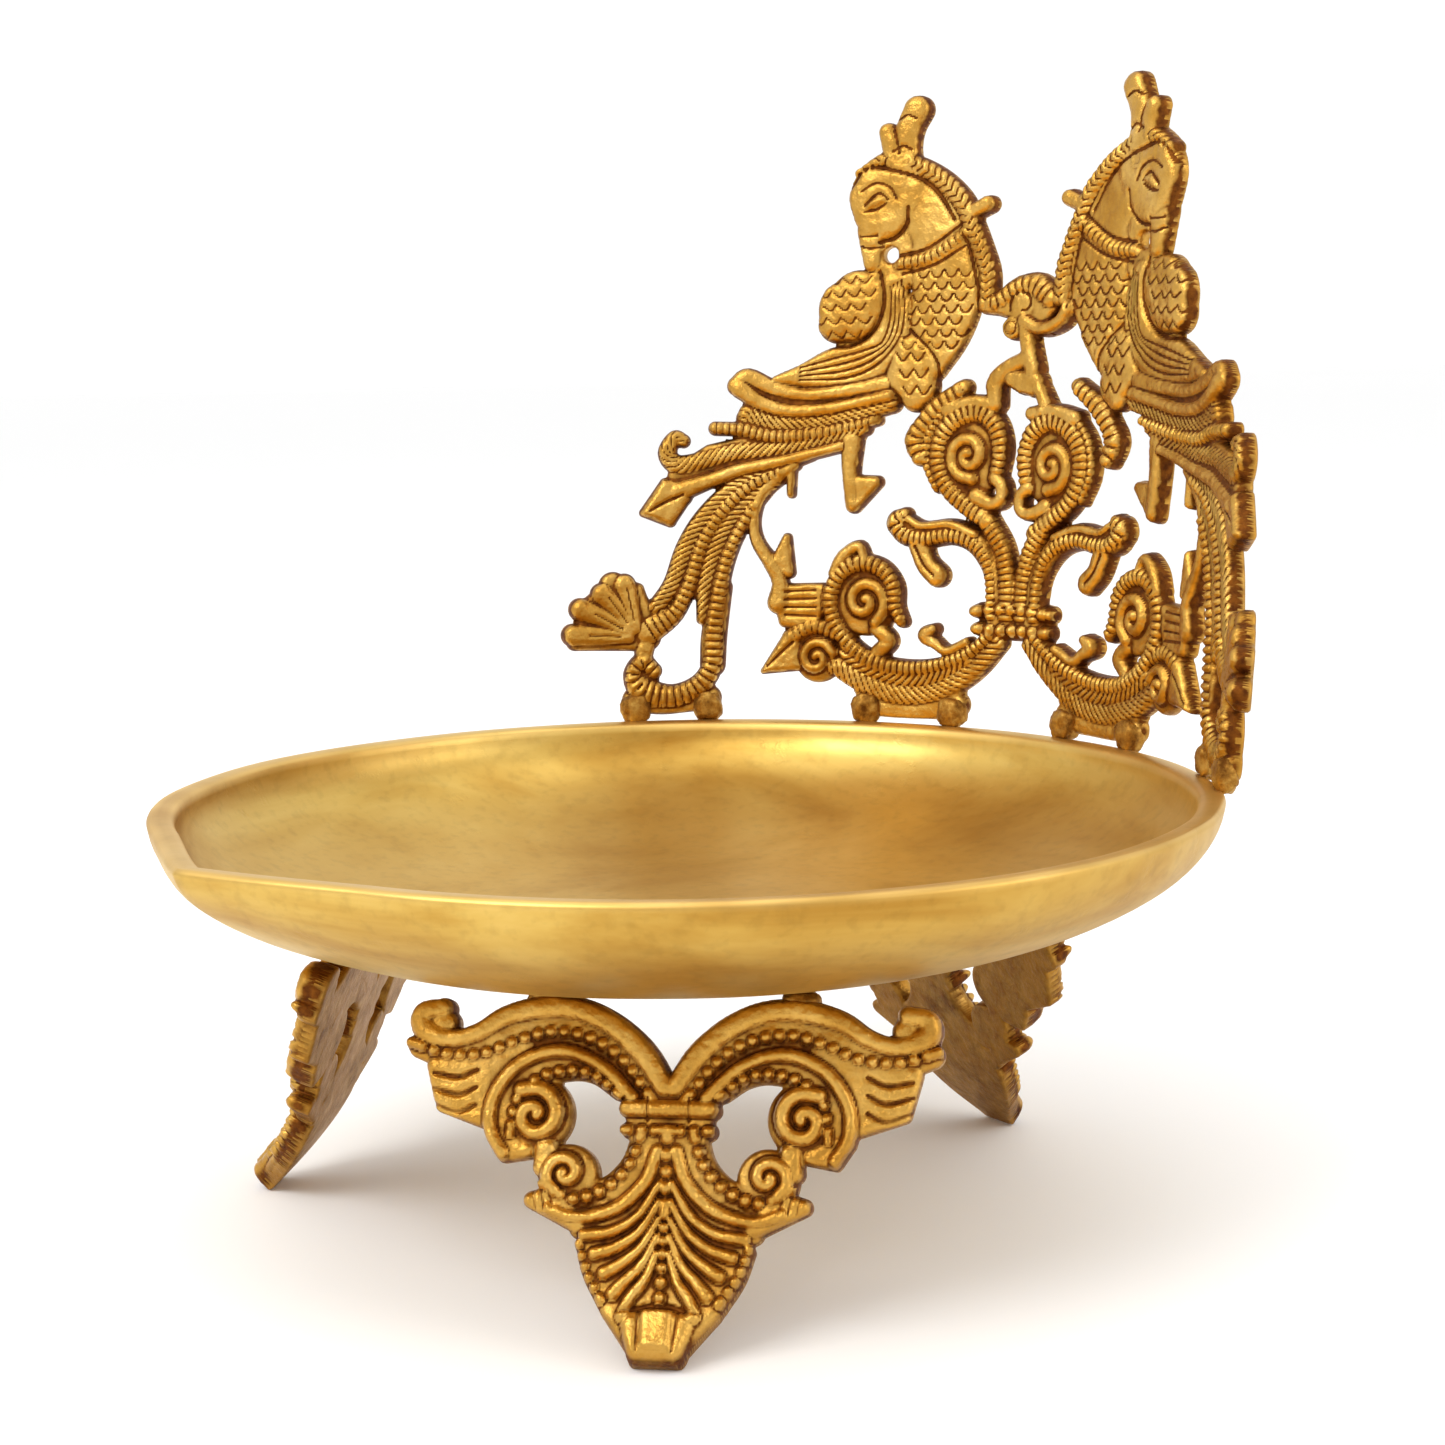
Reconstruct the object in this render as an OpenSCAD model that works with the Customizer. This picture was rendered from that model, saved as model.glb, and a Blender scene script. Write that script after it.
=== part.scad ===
// Diya oil lamp: a shallow cast brass bowl with a pinched wick lip, an openwork
// back plate of two peacocks brazed on its rim, and three acanthus legs brazed below.
// Millimetres, +Z up. The wick lip points to -Y and the legs stand on Z = 0.

/* [Bowl] */
// Width of the bowl across its rim
rim_d = 200; // [180:1:220]
// Height of the rim above the table
rim_h = 78; // [76:0.5:84]
// Depth of the bowl, from rim to underside
bowl_depth = 25; // [23:0.5:30]
// Thickness of the cast wall at the floor
wall = 4; // [3:0.1:5]
// Width of the flat filed top of the rim
rim_flat = 5; // [4:0.1:7]
// Radius of the flat middle of the underside
floor_r = 40; // [30:1:48]
// How much the front of the rim is drawn in from round
front_in = 6.5; // [0:0.5:10]
// How far the wick lip stands out of the front
lip_out = 7.5; // [4:0.5:14]
// Half angle of the rim that is pinched into the lip, degrees
lip_angle = 22; // [14:1:30]

/* [Back plate] */
// Thickness of the plate at its plain places
plate_t = 3.4; // [3:0.1:4.5]
// How far the raised work stands off the plate
plate_relief = 1.4; // [0.6:0.1:2]
// Distance of the plate's outer face outside the rim's edge
plate_out = 3; // [1.5:0.1:4]
// Outward lean of the plate, degrees
plate_lean = 4; // [0:0.5:7]
// Turn of the plate round the bowl from the lip's line, degrees
plate_turn = 7; // [0:1:10]
// Height of the gap between the rim and the lowest scrolls
plate_gap = 0.8; // [0.4:0.1:1.5]

/* [Legs] */
// Thickness of a leg at its plain places
leg_t = 4.4; // [3.5:0.1:5.5]
// How far the raised work stands off a leg
leg_relief = 2; // [1:0.1:2.6]
// Room for braze between a leg's top and the underside of the bowl
leg_gap = 0.56; // [0.4:0.02:1.2]
// Distance of a leg's back from the bowl's axis, at the top
leg_r = 55; // [50:0.5:60]
// Outward lean of a leg, mm of reach for each mm of height
leg_lean = 0.37; // [0.2:0.01:0.45]
// How far the toe kicks outward
toe_kick = 6.5; // [4:0.5:9]
// Angle of the two front legs each side of the lip, degrees
leg_spread = 52.5; // [46:0.5:58]
// Twist of the leg at the right of the lip out of true, degrees
twist_right = -10; // [-12:1:12]
// Twist of the leg at the left of the lip, degrees
twist_left = 6; // [-12:1:12]
// Twist of the back leg, degrees
twist_back = -5; // [-12:1:12]

/* [Braze] */
// Radius of a braze bead on the rim
rim_bead = 2.6; // [2:0.1:3.2]
// How far up the plate's foot the rim beads reach
bead_rise = 5; // [4.6:0.2:6]
// Radius of a braze bead under the bowl
leg_bead = 3.2; // [2.6:0.1:4]

/* [Hidden] */
// Radius of the rim
rim_r = rim_d / 2;
// Radius of the plate's outer face at the rim's level
plate_r = rim_r + plate_out;
// Height that a leg's pattern is drawn at, and how far it is widened
leg_drawn = 55;
leg_widened = 1.02;
// Step left round the raised work
shoulder = 0.25;
// Sides of a round dab of metal in the openwork
dab_sides = 8;
// Sides of a broad round, such as a head or a shoulder pad
broad_sides = 24;
// Height of the plate, and how far it reaches each way round the rim
plate_h = 136;
plate_reach = 108;
// Upright panels that the plate's curve is made of
plate_panels = 12;
// Places round the bowl where its surface is worked out
bowl_steps = 72;
// Places up the bowl's side
side_steps = 7;
// Height of the peacocks' crests above the rim
crest_h = 133;
// Rearmost and foremost reach of the lamp from the bowl's axis, and the middle between them
back_y = (plate_r + crest_h * sin(plate_lean)) * cos(plate_turn);
front_y = rim_r - front_in + lip_out;
mid_y = (back_y - front_y) / 2;
// Positions of the braze beads along the plate's foot, from its middle
bead_u = [15.5, 36.5, 73.5, 90];
// How far the braze beads on a leg's top lie from its middle
bead_w = 21;

// Height of a leg's top rib, below the part of the bowl that its top front edge faces
leg_front = leg_t + leg_relief;
lean_run = norm([1, leg_lean]);
leg_faces = under_z(norm([leg_r + leg_front / lean_run, bead_w]));
leg_h = rim_h + leg_faces - leg_front * leg_lean / lean_run - leg_gap;
// Heights at which a leg bends
leg_bends = [-2, 3, 7, 12, 20, leg_h + 3.6];

// ---- shared shapes ----

// Sets a piece over the middle of the box round the whole lamp
module centred() {
  translate([0, -mid_y, 0])
    children();
}

// Radius of the rim at an angle from the lip: drawn in at the front, with the lip pinched out
function plan_r(a, lip) =
  rim_r - front_in * pow(max(0, cos(a)), 2)
  + lip * pow(max(0, 1 - abs(a) / lip_angle), 1.5);

// Underside of the bowl: height below the rim at a radius on its round side
function under_z(r) =
  -bowl_depth * sqrt(1 - pow(max(0, min(1, (r - floor_r) / (rim_r - floor_r))), 2));

// Distance of a leg's back from the bowl's axis at a height
function leg_reach(h) =
  leg_r + leg_lean * (leg_h - h) + toe_kick * pow(max(0, 1 - h / 20), 2);

// Points of a scroll that winds in to its eye: [across, up, half width]
function scroll(c, r0, r1, a0, turns, w0, w1, n = 9) = [
  for (i = [0:n])
    let (k = i / n, a = a0 + 360 * turns * k, r = r0 + (r1 - r0) * k)
      [c[0] + r * cos(a), c[1] + r * sin(a), w0 + (w1 - w0) * k]
];

// Is any of a bar or a field within the stretch that is being drawn?
function in_reach(points) =
  min([for (p = points) p[0] - p[2]]) < $reach[1] && max([for (p = points) p[0] + p[2]]) > $reach[0];

// Where a dab's middle lies in the flat pattern. The plate widens as it leans out
function spot(p) = [p[0] * (1 + p[1] * $widening), p[1]];

// A round dab of metal, flat: [across, up, radius]
module dab(p) {
  translate(spot(p))
    circle(r = p[2], $fn = p[2] > 3.5 ? broad_sides : dab_sides);
}

// Two dabs and the metal between them
module link(p, q) {
  a = spot(p);
  b = spot(q);
  across = [a[1] - b[1], b[0] - a[0]] / norm(b - a);
  dab(p);
  dab(q);
  polygon([a + across * p[2], a - across * p[2], b - across * q[2], b + across * q[2]]);
}

// A bar of metal through a row of dabs
module bar(path) {
  for (i = [0:len(path) - 2])
    if (in_reach([path[i], path[i + 1]]))
      link(path[i], path[i + 1]);
}

// A solid field of metal inside a ring of dabs
module field(ring) {
  if (in_reach(ring)) {
    polygon([for (p = ring) spot(p)]);
    for (i = [0:len(ring) - 1])
      link(ring[i], ring[(i + 1) % len(ring)]);
  }
}

// ---- bowl ----

// Rings of the bowl from the middle of the underside, over the rim, to the middle of the floor.
// Each is [share of the way from the flat floor to the rim, height, inset from the rim]
function bowl_rings() = concat(
  [for (i = [0:side_steps]) let (t = 85 * i / side_steps) [sin(t), -bowl_depth * cos(t), 0]],
  [[1, -1, 0], [1, 0, 1], [1, 0, rim_flat]],
  [for (i = [0:side_steps])
    let (t = 90 - 90 * i / side_steps) [sin(t), -(bowl_depth - wall) * cos(t) - 0.6 * sin(t), rim_flat]]
);

function bowl_point(ring, a) =
  let (
    lip = lip_out * pow(ring[0], 6),
    r = floor_r + (plan_r(a, lip) - floor_r) * ring[0] - ring[2]
  )
  [r * sin(a), -r * cos(a), rim_h + ring[1]];

module bowl() {
  rings = bowl_rings();
  n = len(rings);
  m = bowl_steps;
  points = concat(
    [for (ring = rings, j = [0:m - 1]) bowl_point(ring, 360 * j / m - 180)],
    [[0, 0, rim_h - bowl_depth], [0, 0, rim_h - bowl_depth + wall]]
  );
  sides = [
    for (i = [0:n - 2], j = [0:m - 1], half = [0, 1])
      let (k = (j + 1) % m)
        half == 0 ? [i * m + j, (i + 1) * m + k, i * m + k]
        : [i * m + j, (i + 1) * m + j, (i + 1) * m + k]
  ];
  under = [for (j = [0:m - 1]) [n * m, j, (j + 1) % m]];
  floor_in = [for (j = [0:m - 1]) [n * m + 1, (n - 1) * m + (j + 1) % m, (n - 1) * m + j]];
  color([0.83, 0.64, 0.32])
    centred()
      polyhedron(points = points, faces = concat(sides, under, floor_in));
}

// ---- back plate ----

// One peacock, its breast to the middle and its head turned back over its wing.
// The raised work alone is drawn when raised is true, and the whole outline when not
module peacock(raised) {
  // head, shoulder pad and thigh stand proud
  field([[34.3, 112, 7.4], [33.6, 109.5, 7.3], [30, 113, 6.5]]);
  field([[41.3, 88.2, 7], [39.3, 90.3, 6.4], [44.2, 85.2, 4.2], [36.5, 94.2, 2]]);
  field([[27, 78.5, 4.3], [29.5, 73.5, 3.6], [25.8, 71.5, 4.8], [26.3, 69, 3.2]]);
  // mantle from the crown down the back of the neck
  bar([[39, 117, 1.4], [33, 120, 1.7], [27, 118.6, 1.8], [21, 115, 2], [16.2, 110.3, 2],
    [13.8, 105.5, 1.9], [11.4, 100, 2], [9.6, 95, 1.9], [9.4, 89, 1.9]]);
  // foot with its claw on the scroll
  bar([[14.8, 71, 1.9], [20.3, 67.2, 2.3], [24.3, 63, 2.3], [26, 59.7, 2.6], [24.8, 56.2, 2]]);
  if (!raised) {
    // neck and breast
    bar([[28, 112, 6.5], [22, 105, 6.5], [19.8, 98, 8.2], [19.6, 91, 8.2], [21, 84, 7], [24, 77, 5.2]]);
    // beak
    bar([[36.6, 105, 3.4], [36.4, 98, 2.1]]);
    // crest of two lobes, and the knob on the mantle
    bar([[29.3, 119, 2.8], [29.3, 123.5, 2.6], [28.3, 127, 2.4], [27.3, 130.2, 3.1]]);
    bar([[33.4, 125.6, 2], [31.5, 122, 2.6]]);
    bar([[14, 107.6, 1.8], [10.2, 109.3, 1.8]]);
    // long wing feathers, flowing under the pad
    bar([[32.3, 93, 3.2], [31.2, 87, 3.8], [32.5, 81, 4.5], [37, 77, 4.8], [44, 75.8, 4.6],
      [51, 74.2, 2.8], [57.5, 73.4, 1]]);
  }
}

// The tail: ribbed plumes that sweep out and down, each ending in a curl or a leaf
module tail(raised) {
  bar([[32, 69.5, 1.5], [40, 67.9, 1.4], [48, 66.6, 1.5], [55, 66.6, 1.6], [61, 68.5, 1.8], [65.2, 71.5, 2.2]]);
  bar([[35, 64.2, 1.2], [43, 62.4, 1.4], [50, 61.3, 1.5], [58, 61, 1.5], [65, 62.6, 1.6], [70.8, 63, 1.6]]);
  bar([[43, 58.6, 1.3], [56, 55.6, 1.4], [65, 53.9, 1.6], [72, 51.6, 1.8], [79, 49.2, 2.4]]);
  bar([[56, 53.4, 1.3], [63.5, 50, 1.5], [70, 44, 1.6], [74.3, 37, 1.7], [77, 29, 1.8], [80.5, 22.5, 2.2],
    [86.5, 18.6, 3.2]]);
  bar([[62, 46.5, 1.4], [66, 40, 1.6], [68.8, 33.5, 1.8], [70.6, 26, 2], [71.8, 18, 2.2], [72.3, 11, 2.4],
    [75.5, 6.3, 2.5], [81.5, 4.1, 2.6], [87.8, 5.4, 3.1], [90.4, 9, 2], [88, 12, 2], [85.4, 9.8, 1.8]]);
  // lobes of the shell at the tail's end
  bar([[90, 17.4, 1.4], [104.6, 17.4, 2.2]]);
  bar([[89, 21.6, 1.4], [95, 28.6, 2.6]]);
  if (!raised) {
    bar([[33, 72, 2], [42, 70.6, 1.6], [51, 70, 1.5], [58, 71.6, 1.8], [63.5, 74, 2.1], [66, 72.2, 2.2]]);
    bar([[32, 68, 2.4], [40, 65.6, 2], [49, 64, 2.2], [57, 64, 2.2], [63.5, 66, 2.4]]);
    bar([[38, 62.6, 1.8], [48, 59.9, 1.8], [58, 58.2, 2], [66, 57.8, 2], [73, 56.2, 2], [79, 55.2, 2.2],
      [81.3, 57.8, 2.1], [79.6, 61, 1.8], [77.8, 60.4, 1.6]]);
    field([[79, 48.8, 3.2], [82, 51.2, 1.2], [86.8, 44.8, 1], [81, 42.8, 1.4]]);
    bar([[50, 57, 1.6], [60, 53.4, 2], [68, 49, 2.1], [74, 43, 2.2], [78, 36.5, 2.2], [81, 29, 2], [84.5, 24, 2]]);
    bar([[57, 52, 1.8], [67, 44, 2.2], [71.6, 36, 2.2], [73.8, 28, 1.8], [74.6, 21, 1.2]]);
    bar([[70, 28, 2.4], [71.8, 18, 2.9], [72.3, 11, 2.9]]);
    field([[87, 17.5, 3.4], [94, 28.8, 3.2], [88.5, 28, 1.4]]);
    field([[88, 17.2, 3], [101, 23, 2.3], [97, 26.5, 2], [103, 16.6, 1.8]]);
    bar([[87.2, 15.4, 2.2], [88, 12, 2]]);
    // thorned inner branch, down to a plain round boss
    bar([[53.5, 54.8, 1.5], [58, 51.5, 1.5], [61.2, 47.5, 1.4], [62.5, 42.5, 1.4], [61.8, 38, 1.6],
      [59, 33.5, 1.8], [56.8, 29, 2], [57.2, 24.6, 2.7]]);
    bar([[54.2, 54, 1.2], [54.3, 48.4, 1]]);
    field([[57.5, 33, 1.8], [54.8, 31.2, 1.4], [55.3, 38.8, 1.1]]);
    // hooked drop under the plumes
    bar([[40.7, 60, 2.6], [40.9, 53, 2], [40.3, 46, 1.8]]);
    field([[40.3, 45.8, 1.8], [35.1, 50.9, 1.5], [40, 51, 1.6]]);
  }
}

// The broad lower scroll on the rim, with its big and small spirals
module lower_scroll(raised) {
  bar([[5.5, 19.3, 1.4], [12, 14.4, 1.6], [20, 11.6, 1.7], [28, 10.8, 1.9], [35, 12, 2], [40.5, 15.5, 2],
    [44.3, 20.5, 2], [45.2, 26, 2], [43, 31, 2], [38.5, 33.4, 2], [33.5, 32.3, 2], [30.4, 28.5, 2],
    [29.9, 24, 1.8], [28.4, 20.8, 1.5]]);
  bar(scroll([37, 25], 5.2, 0.8, -120, -1.4, 1.4, 1.3));
  bar(scroll([48.2, 12.4], 4, 0.8, 160, -1.2, 1.2, 1.1, 7));
  if (!raised) {
    bar([[4, 17.2, 1.8], [10, 11.5, 2.3], [17, 7.3, 2.6], [25, 5.2, 2.7], [33, 5.8, 2.5], [40, 8.5, 2.5],
      [45, 11.5, 2]]);
    bar([[12, 13.4, 2], [20, 9.6, 2.5], [28, 8.8, 2.5], [36, 11, 2.5], [41, 14, 2.5]]);
    dab([37, 25, 7.6]);
    bar([[34, 19, 2], [31.5, 16.5, 2], [34, 14, 2]]);
    bar([[44.5, 31, 1.4], [42.5, 34.6, 1.6], [38.8, 37, 1.4], [37, 34, 1.2]]);
    bar([[12, 17, 1.2], [17, 14.9, 1.3], [20, 16.4, 1.5], [22.5, 18, 2], [20.6, 19.4, 1.4]]);
    dab([48.2, 12.4, 5.4]);
    bar([[43.5, 18, 2], [49, 19.3, 1.8], [54.6, 16.8, 2]]);
    field([[54.4, 16.6, 2.2], [60.8, 9.4, 0.7], [53, 11, 1.6]]);
    field([[56.6, 26.6, 2.2], [47, 26.6, 2.4], [50, 20.6, 2.2], [55.8, 20.6, 1.6]]);
  }
}

// The ribbed stems that rise from the bundle
module stems(raised) {
  bar([[1.9, 22, 1.3], [1.9, 30, 1.4], [3.6, 37, 1.5], [7.6, 42.6, 1.6]]);
  bar([[5.6, 22, 1.4], [6, 30, 1.4], [7.6, 35, 1.5], [11.5, 38.9, 1.6], [17, 40.2, 1.6], [23, 39.4, 1.6],
    [27.5, 39.6, 1.8], [29.8, 42.2, 2.2], [28.4, 43.6, 1.8]]);
  if (!raised) {
    bar([[1.9, 22, 1.9], [1.9, 30, 1.9], [3.6, 37, 1.9], [7.6, 42.6, 1.9]]);
    bar([[4.6, 22, 2.2], [5.4, 30, 2.2], [7.6, 35, 1.9], [11.5, 39, 2], [17, 40.6, 2], [23, 39.8, 2],
      [27.5, 39.6, 2.2], [29.6, 42, 2.8]]);
    bar([[24.4, 37.6, 2.2], [22.6, 33.5, 2.2], [20, 31.2, 2.4]]);
  }
}

// The upper spiral that a peacock stands on
module upper_spiral(raised) {
  bar([[7.6, 42.6, 1.6], [13, 46, 1.7], [17.8, 49.6, 1.7], [20.3, 55, 1.7], [19.6, 60.5, 1.7], [16, 64.6, 1.7],
    [11, 66, 1.7], [6.8, 63.5, 1.7], [4.9, 58.5, 1.6], [5.6, 53, 1.6]]);
  bar(scroll([12.6, 56.6], 5, 0.8, -100, 1.5, 1.3, 1.2));
  if (!raised) {
    bar([[7.6, 42.6, 1.9], [13, 45.8, 2.2], [17.8, 49.6, 2.2], [20.3, 55, 2.2], [19.6, 60.5, 2.2], [16, 64.6, 2.2],
      [11, 66, 2.2], [6.8, 63.5, 2.2], [4.9, 58.5, 2], [5.6, 53, 1.9]]);
    dab([12.6, 56, 8]);
    bar([[10.8, 48, 2], [7, 46.6, 1.7], [4.4, 47.4, 1.7], [4.2, 50.2, 1.7], [6, 52, 1.8]]);
    bar([[18, 66.4, 2], [12.5, 68, 1.6], [6.4, 67.4, 1.8]]);
  }
}

// The small scrolls between the two peacocks, which are not alike left and right
module middle_scrolls(raised) {
  bar([[0.2, 84.6, 1.6], [4.5, 82.8, 1.6], [9.4, 84.2, 1.6], [11.6, 87, 1.8]]);
  bar([[-6, 89, 2], [-2, 91.2, 2.2], [2.5, 91.8, 2.3], [6.5, 89, 2.2]]);
  dab([-2.9, 83.2, 2.6]);
  if (!raised) {
    bar([[-10, 88.2, 2], [-6, 88.6, 2.7], [-2, 90.6, 3.3], [2.5, 91.2, 3.4], [6.5, 88.8, 2.6]]);
    field([[-1, 87.6, 2.6], [4.6, 86.6, 2.8], [2, 84.6, 1.6]]);
    bar([[0.4, 83.4, 2], [1.4, 78.6, 2.2], [2.6, 74.5, 2.2]]);
    bar([[1.4, 77, 2], [-3.6, 75, 2], [-6.8, 71.8, 2.4], [-6.4, 67.4, 1.8]]);
    field([[2.8, 71.6, 3], [0.5, 71, 1.9], [-2.6, 72.6, 2]]);
    bar([[4.5, 70.5, 1.8], [6.4, 67.4, 1.8]]);
  }
}

// The plate's pattern, laid flat: the two mirrored halves and what joins them
module plate_pattern(from, to, raised) {
  $widening = sin(plate_lean) / plate_r;
  for (side = [0, 1]) {
    $reach = side == 0 ? [from, to] : [-to, -from];
    mirror([side, 0]) {
      peacock(raised);
      tail(raised);
      lower_scroll(raised);
      stems(raised);
      upper_spiral(raised);
    }
  }
  $reach = [from, to];
  middle_scrolls(raised);
  // beaded collars that gather the stems
  bar([[-9.2, 23.8, 1.8], [0, 24.4, 2], [9.2, 23.8, 1.8]]);
  bar([[-8.8, 20.2, 1.8], [0, 20.2, 2.2], [8.8, 20.2, 1.8]]);
}

// One upright panel of the plate, as the pattern is wrapped round the rim
module plate_panel(middle, width, from, to, raised) {
  half = width / 2 + 0.15;
  spread = 1 + plate_h * sin(plate_lean) / plate_r;
  rotate([0, 0, -middle / plate_r * 180 / PI])
    translate([0, plate_r, rim_h + plate_gap])
      rotate([90 - plate_lean, 0, 0])
        translate([0, 0, from])
          linear_extrude(height = to - from)
            intersection() {
              polygon([[-half, 0], [half, 0], [half * spread, plate_h], [-half * spread, plate_h]]);
              multmatrix([
                [1, -middle * sin(plate_lean) / plate_r, 0, -middle],
                [0, 1, 0, 0],
                [0, 0, 1, 0],
                [0, 0, 0, 1]
              ])
                offset(delta = raised ? -shoulder : -0.01)
                  plate_pattern(middle - half, middle + half, raised);
            }
}

module back_plate() {
  width = 2 * plate_reach / plate_panels;
  color([0.8, 0.6, 0.28])
    centred()
      rotate([0, 0, plate_turn])
        for (k = [0:plate_panels - 1]) {
          middle = -plate_reach + width * (k + 0.5);
          plate_panel(middle, width, 0, plate_t, false);
          plate_panel(middle, width, plate_t / 2, plate_t + plate_relief, true);
        }
}

// ---- legs ----

// Half of an acanthus leg, from its middle line outward
module leg_half(raised) {
  // outer rib of the arch, ending in the top volute
  bar([[0.8, 41, 1.5], [4.5, 46.8, 1.5], [9.5, 51, 1.5], [15, 53.6, 1.5], [21, 53.9, 1.5], [27, 52.2, 1.5],
    [31.5, 49.4, 1.5], [36, 48.2, 1.6], [40.4, 49.6, 2.2], [40.8, 52.4, 1.9], [37.6, 53, 1.8]]);
  // inner rib, running down into the side spiral
  bar([[6, 39.4, 1.3], [10, 43.4, 1.3], [15, 46, 1.3], [20, 46.2, 1.4], [25, 43.8, 1.4], [28.4, 39, 1.4],
    [28.8, 34, 1.4], [26.6, 30, 1.4]]);
  bar(scroll([21.6, 36.2], 4.4, 0.8, 60, 1.3, 1.4, 1.2, 8));
  // double collar at the waist
  bar([[0, 37.3, 1.6], [6.6, 37.3, 1.4]]);
  bar([[0, 34, 1.5], [6.2, 34, 1.4]]);
  // lower strand and the eye of its spiral
  bar([[1.5, 31, 1.4], [3.4, 26, 1.4], [8, 21.8, 1.4], [14, 20.2, 1.4], [18.6, 21.6, 1.4]]);
  dab([16.4, 27.4, 2.6]);
  // three ribs of the fan
  bar([[1, 24, 1.1], [5, 18.6, 1.1], [12.4, 16.2, 1.3]]);
  bar([[1, 20, 1], [5, 14.6, 1], [11, 11.4, 1.2]]);
  bar([[0.8, 16, 0.9], [3.6, 10.4, 1], [8, 7.2, 1.2]]);
  if (!raised) {
    bar([[0.8, 41, 1.9], [4.5, 46.3, 1.9], [9.5, 50.6, 1.9], [15, 53.2, 1.9], [21, 53.5, 1.9], [27, 52, 1.9],
      [31.5, 49.4, 1.8]]);
    // beaded band of the arch
    bar([[3.4, 40, 2], [8, 45.6, 2.4], [13, 48.6, 2.6], [19, 49.6, 2.8], [25, 48, 2.8], [30, 46, 2.6],
      [36, 45.6, 2.6], [41.2, 47, 2.2]]);
    bar([[6, 39, 1.8], [10, 42.8, 1.8], [15, 45, 2], [21, 44.4, 2.6], [25.6, 41, 2.8], [27, 36, 2.8],
      [26, 32, 2.4]]);
    dab([21.8, 36.4, 6.2]);
    // side leaf and its tips
    field([[31, 44.6, 2], [38.5, 43.8, 1.6], [37, 37.6, 1.4], [30, 35.6, 1.8]]);
    field([[28, 33, 1.8], [26.6, 29.4, 0.9], [22.6, 30.6, 1.4]]);
    field([[18, 23, 1.8], [22.2, 22.6, 0.8], [14, 19, 1.2]]);
    // waist, lower beaded strand and its spiral
    field([[0, 39.6, 2], [5.6, 37.4, 1.8], [5, 33.6, 1.8], [0, 30, 2]]);
    bar([[4.4, 33, 1.8], [6, 28.6, 1.8], [9.6, 25, 1.9], [15, 23.2, 2], [18.6, 24.8, 2]]);
    dab([16, 26.8, 5]);
    bar([[19.6, 31, 2], [20, 28, 1.8]]);
    // fan palmette
    field([[0, 28, 2.4], [4, 25, 2], [13.6, 18.6, 2]]);
    field([[0, 24, 2.6], [12.6, 17.2, 1.6], [11, 11.6, 1.8], [8, 7, 1.8], [3, 2.6, 2.4], [0, 2.6, 2.6]]);
  }
}

// A leg's pattern between two heights, laid flat
module leg_pattern(raised) {
  $widening = 0;
  $reach = [-100, 100];
  for (side = [0, 1])
    mirror([side, 0])
      leg_half(raised);
  bar([[0, 33, 2], [0, 22.4, 1.6]]);
  bar([[0, 21, 1.1], [0, 8, 1.1]]);
  field([[-2.6, 4.8, 1.4], [2.6, 4.8, 1.4], [2.2, 1.2, 1.8], [-2.2, 1.2, 1.8]]);
}

// A length of a leg between two heights, bent to the line of its back
module leg_length(low, high, from, to, raised) {
  bend = atan((leg_reach(high) - leg_reach(low)) / (high - low));
  translate([0, leg_reach(low), low])
    rotate([90 + bend, 0, 180])
      translate([0, 0, from])
        linear_extrude(height = to - from)
          intersection() {
            translate([-60, -0.15])
              square([120, (high - low) / cos(bend) + 0.3]);
            scale([1, 1 / cos(bend)])
              translate([0, -low])
                scale([leg_widened, leg_h / leg_drawn])
                  offset(delta = raised ? -shoulder : -0.01)
                    leg_pattern(raised);
          }
}

// Sets a leg, or what joins it to the bowl, at its place round the bowl with its twist
module leg_place(angle, twist) {
  centred()
    rotate([0, 0, angle])
      translate([0, leg_r, 0])
        rotate([0, 0, twist])
          translate([0, -leg_r, 0])
            children();
}

// One leg, its back towards the bowl's axis and its toe cut flat on the table
module leg(angle, twist) {
  color([0.78, 0.58, 0.26])
    leg_place(angle, twist)
      difference() {
        for (i = [0:len(leg_bends) - 2]) {
          leg_length(leg_bends[i], leg_bends[i + 1], 0, leg_t, false);
          leg_length(leg_bends[i], leg_bends[i + 1], leg_t / 2, leg_t + leg_relief, true);
        }
        translate([-60, 0, -20])
          cube([120, 120, 20]);
      }
}

module leg_right() {
  leg(leg_spread - 180, twist_right);
}

module leg_left() {
  leg(180 - leg_spread, twist_left);
}

module leg_back() {
  leg(0, twist_back);
}

// ---- braze beads ----

// A bead of braze between the rim and the foot of the plate, at a place along the plate
module rim_braze(u) {
  color([0.62, 0.45, 0.2])
    centred()
      rotate([0, 0, plate_turn + 90 - u / plate_r * 180 / PI])
        hull() {
          translate([rim_r - 2, -rim_bead, rim_h - 0.6])
            cube([plate_out + 1.6, 2 * rim_bead, 0.6]);
          translate([plate_r - plate_t, -rim_bead * 0.6, rim_h + plate_gap + bead_rise - 0.6])
            cube([plate_t - 0.4, 1.2 * rim_bead, 0.6]);
        }
}

// A bead of braze between a leg's top rib and the underside of the bowl
module leg_braze(angle, twist, w) {
  reach = leg_reach(leg_h) + leg_t / 2;
  top = rim_h + under_z(norm([reach, w]));
  color([0.5, 0.36, 0.18])
    leg_place(angle, twist)
      translate([w, reach, leg_h - 1.5])
        cylinder(h = top + 1 - leg_h + 1.5, r1 = leg_bead * 0.7, r2 = leg_bead, $fn = 24);
}

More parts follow.
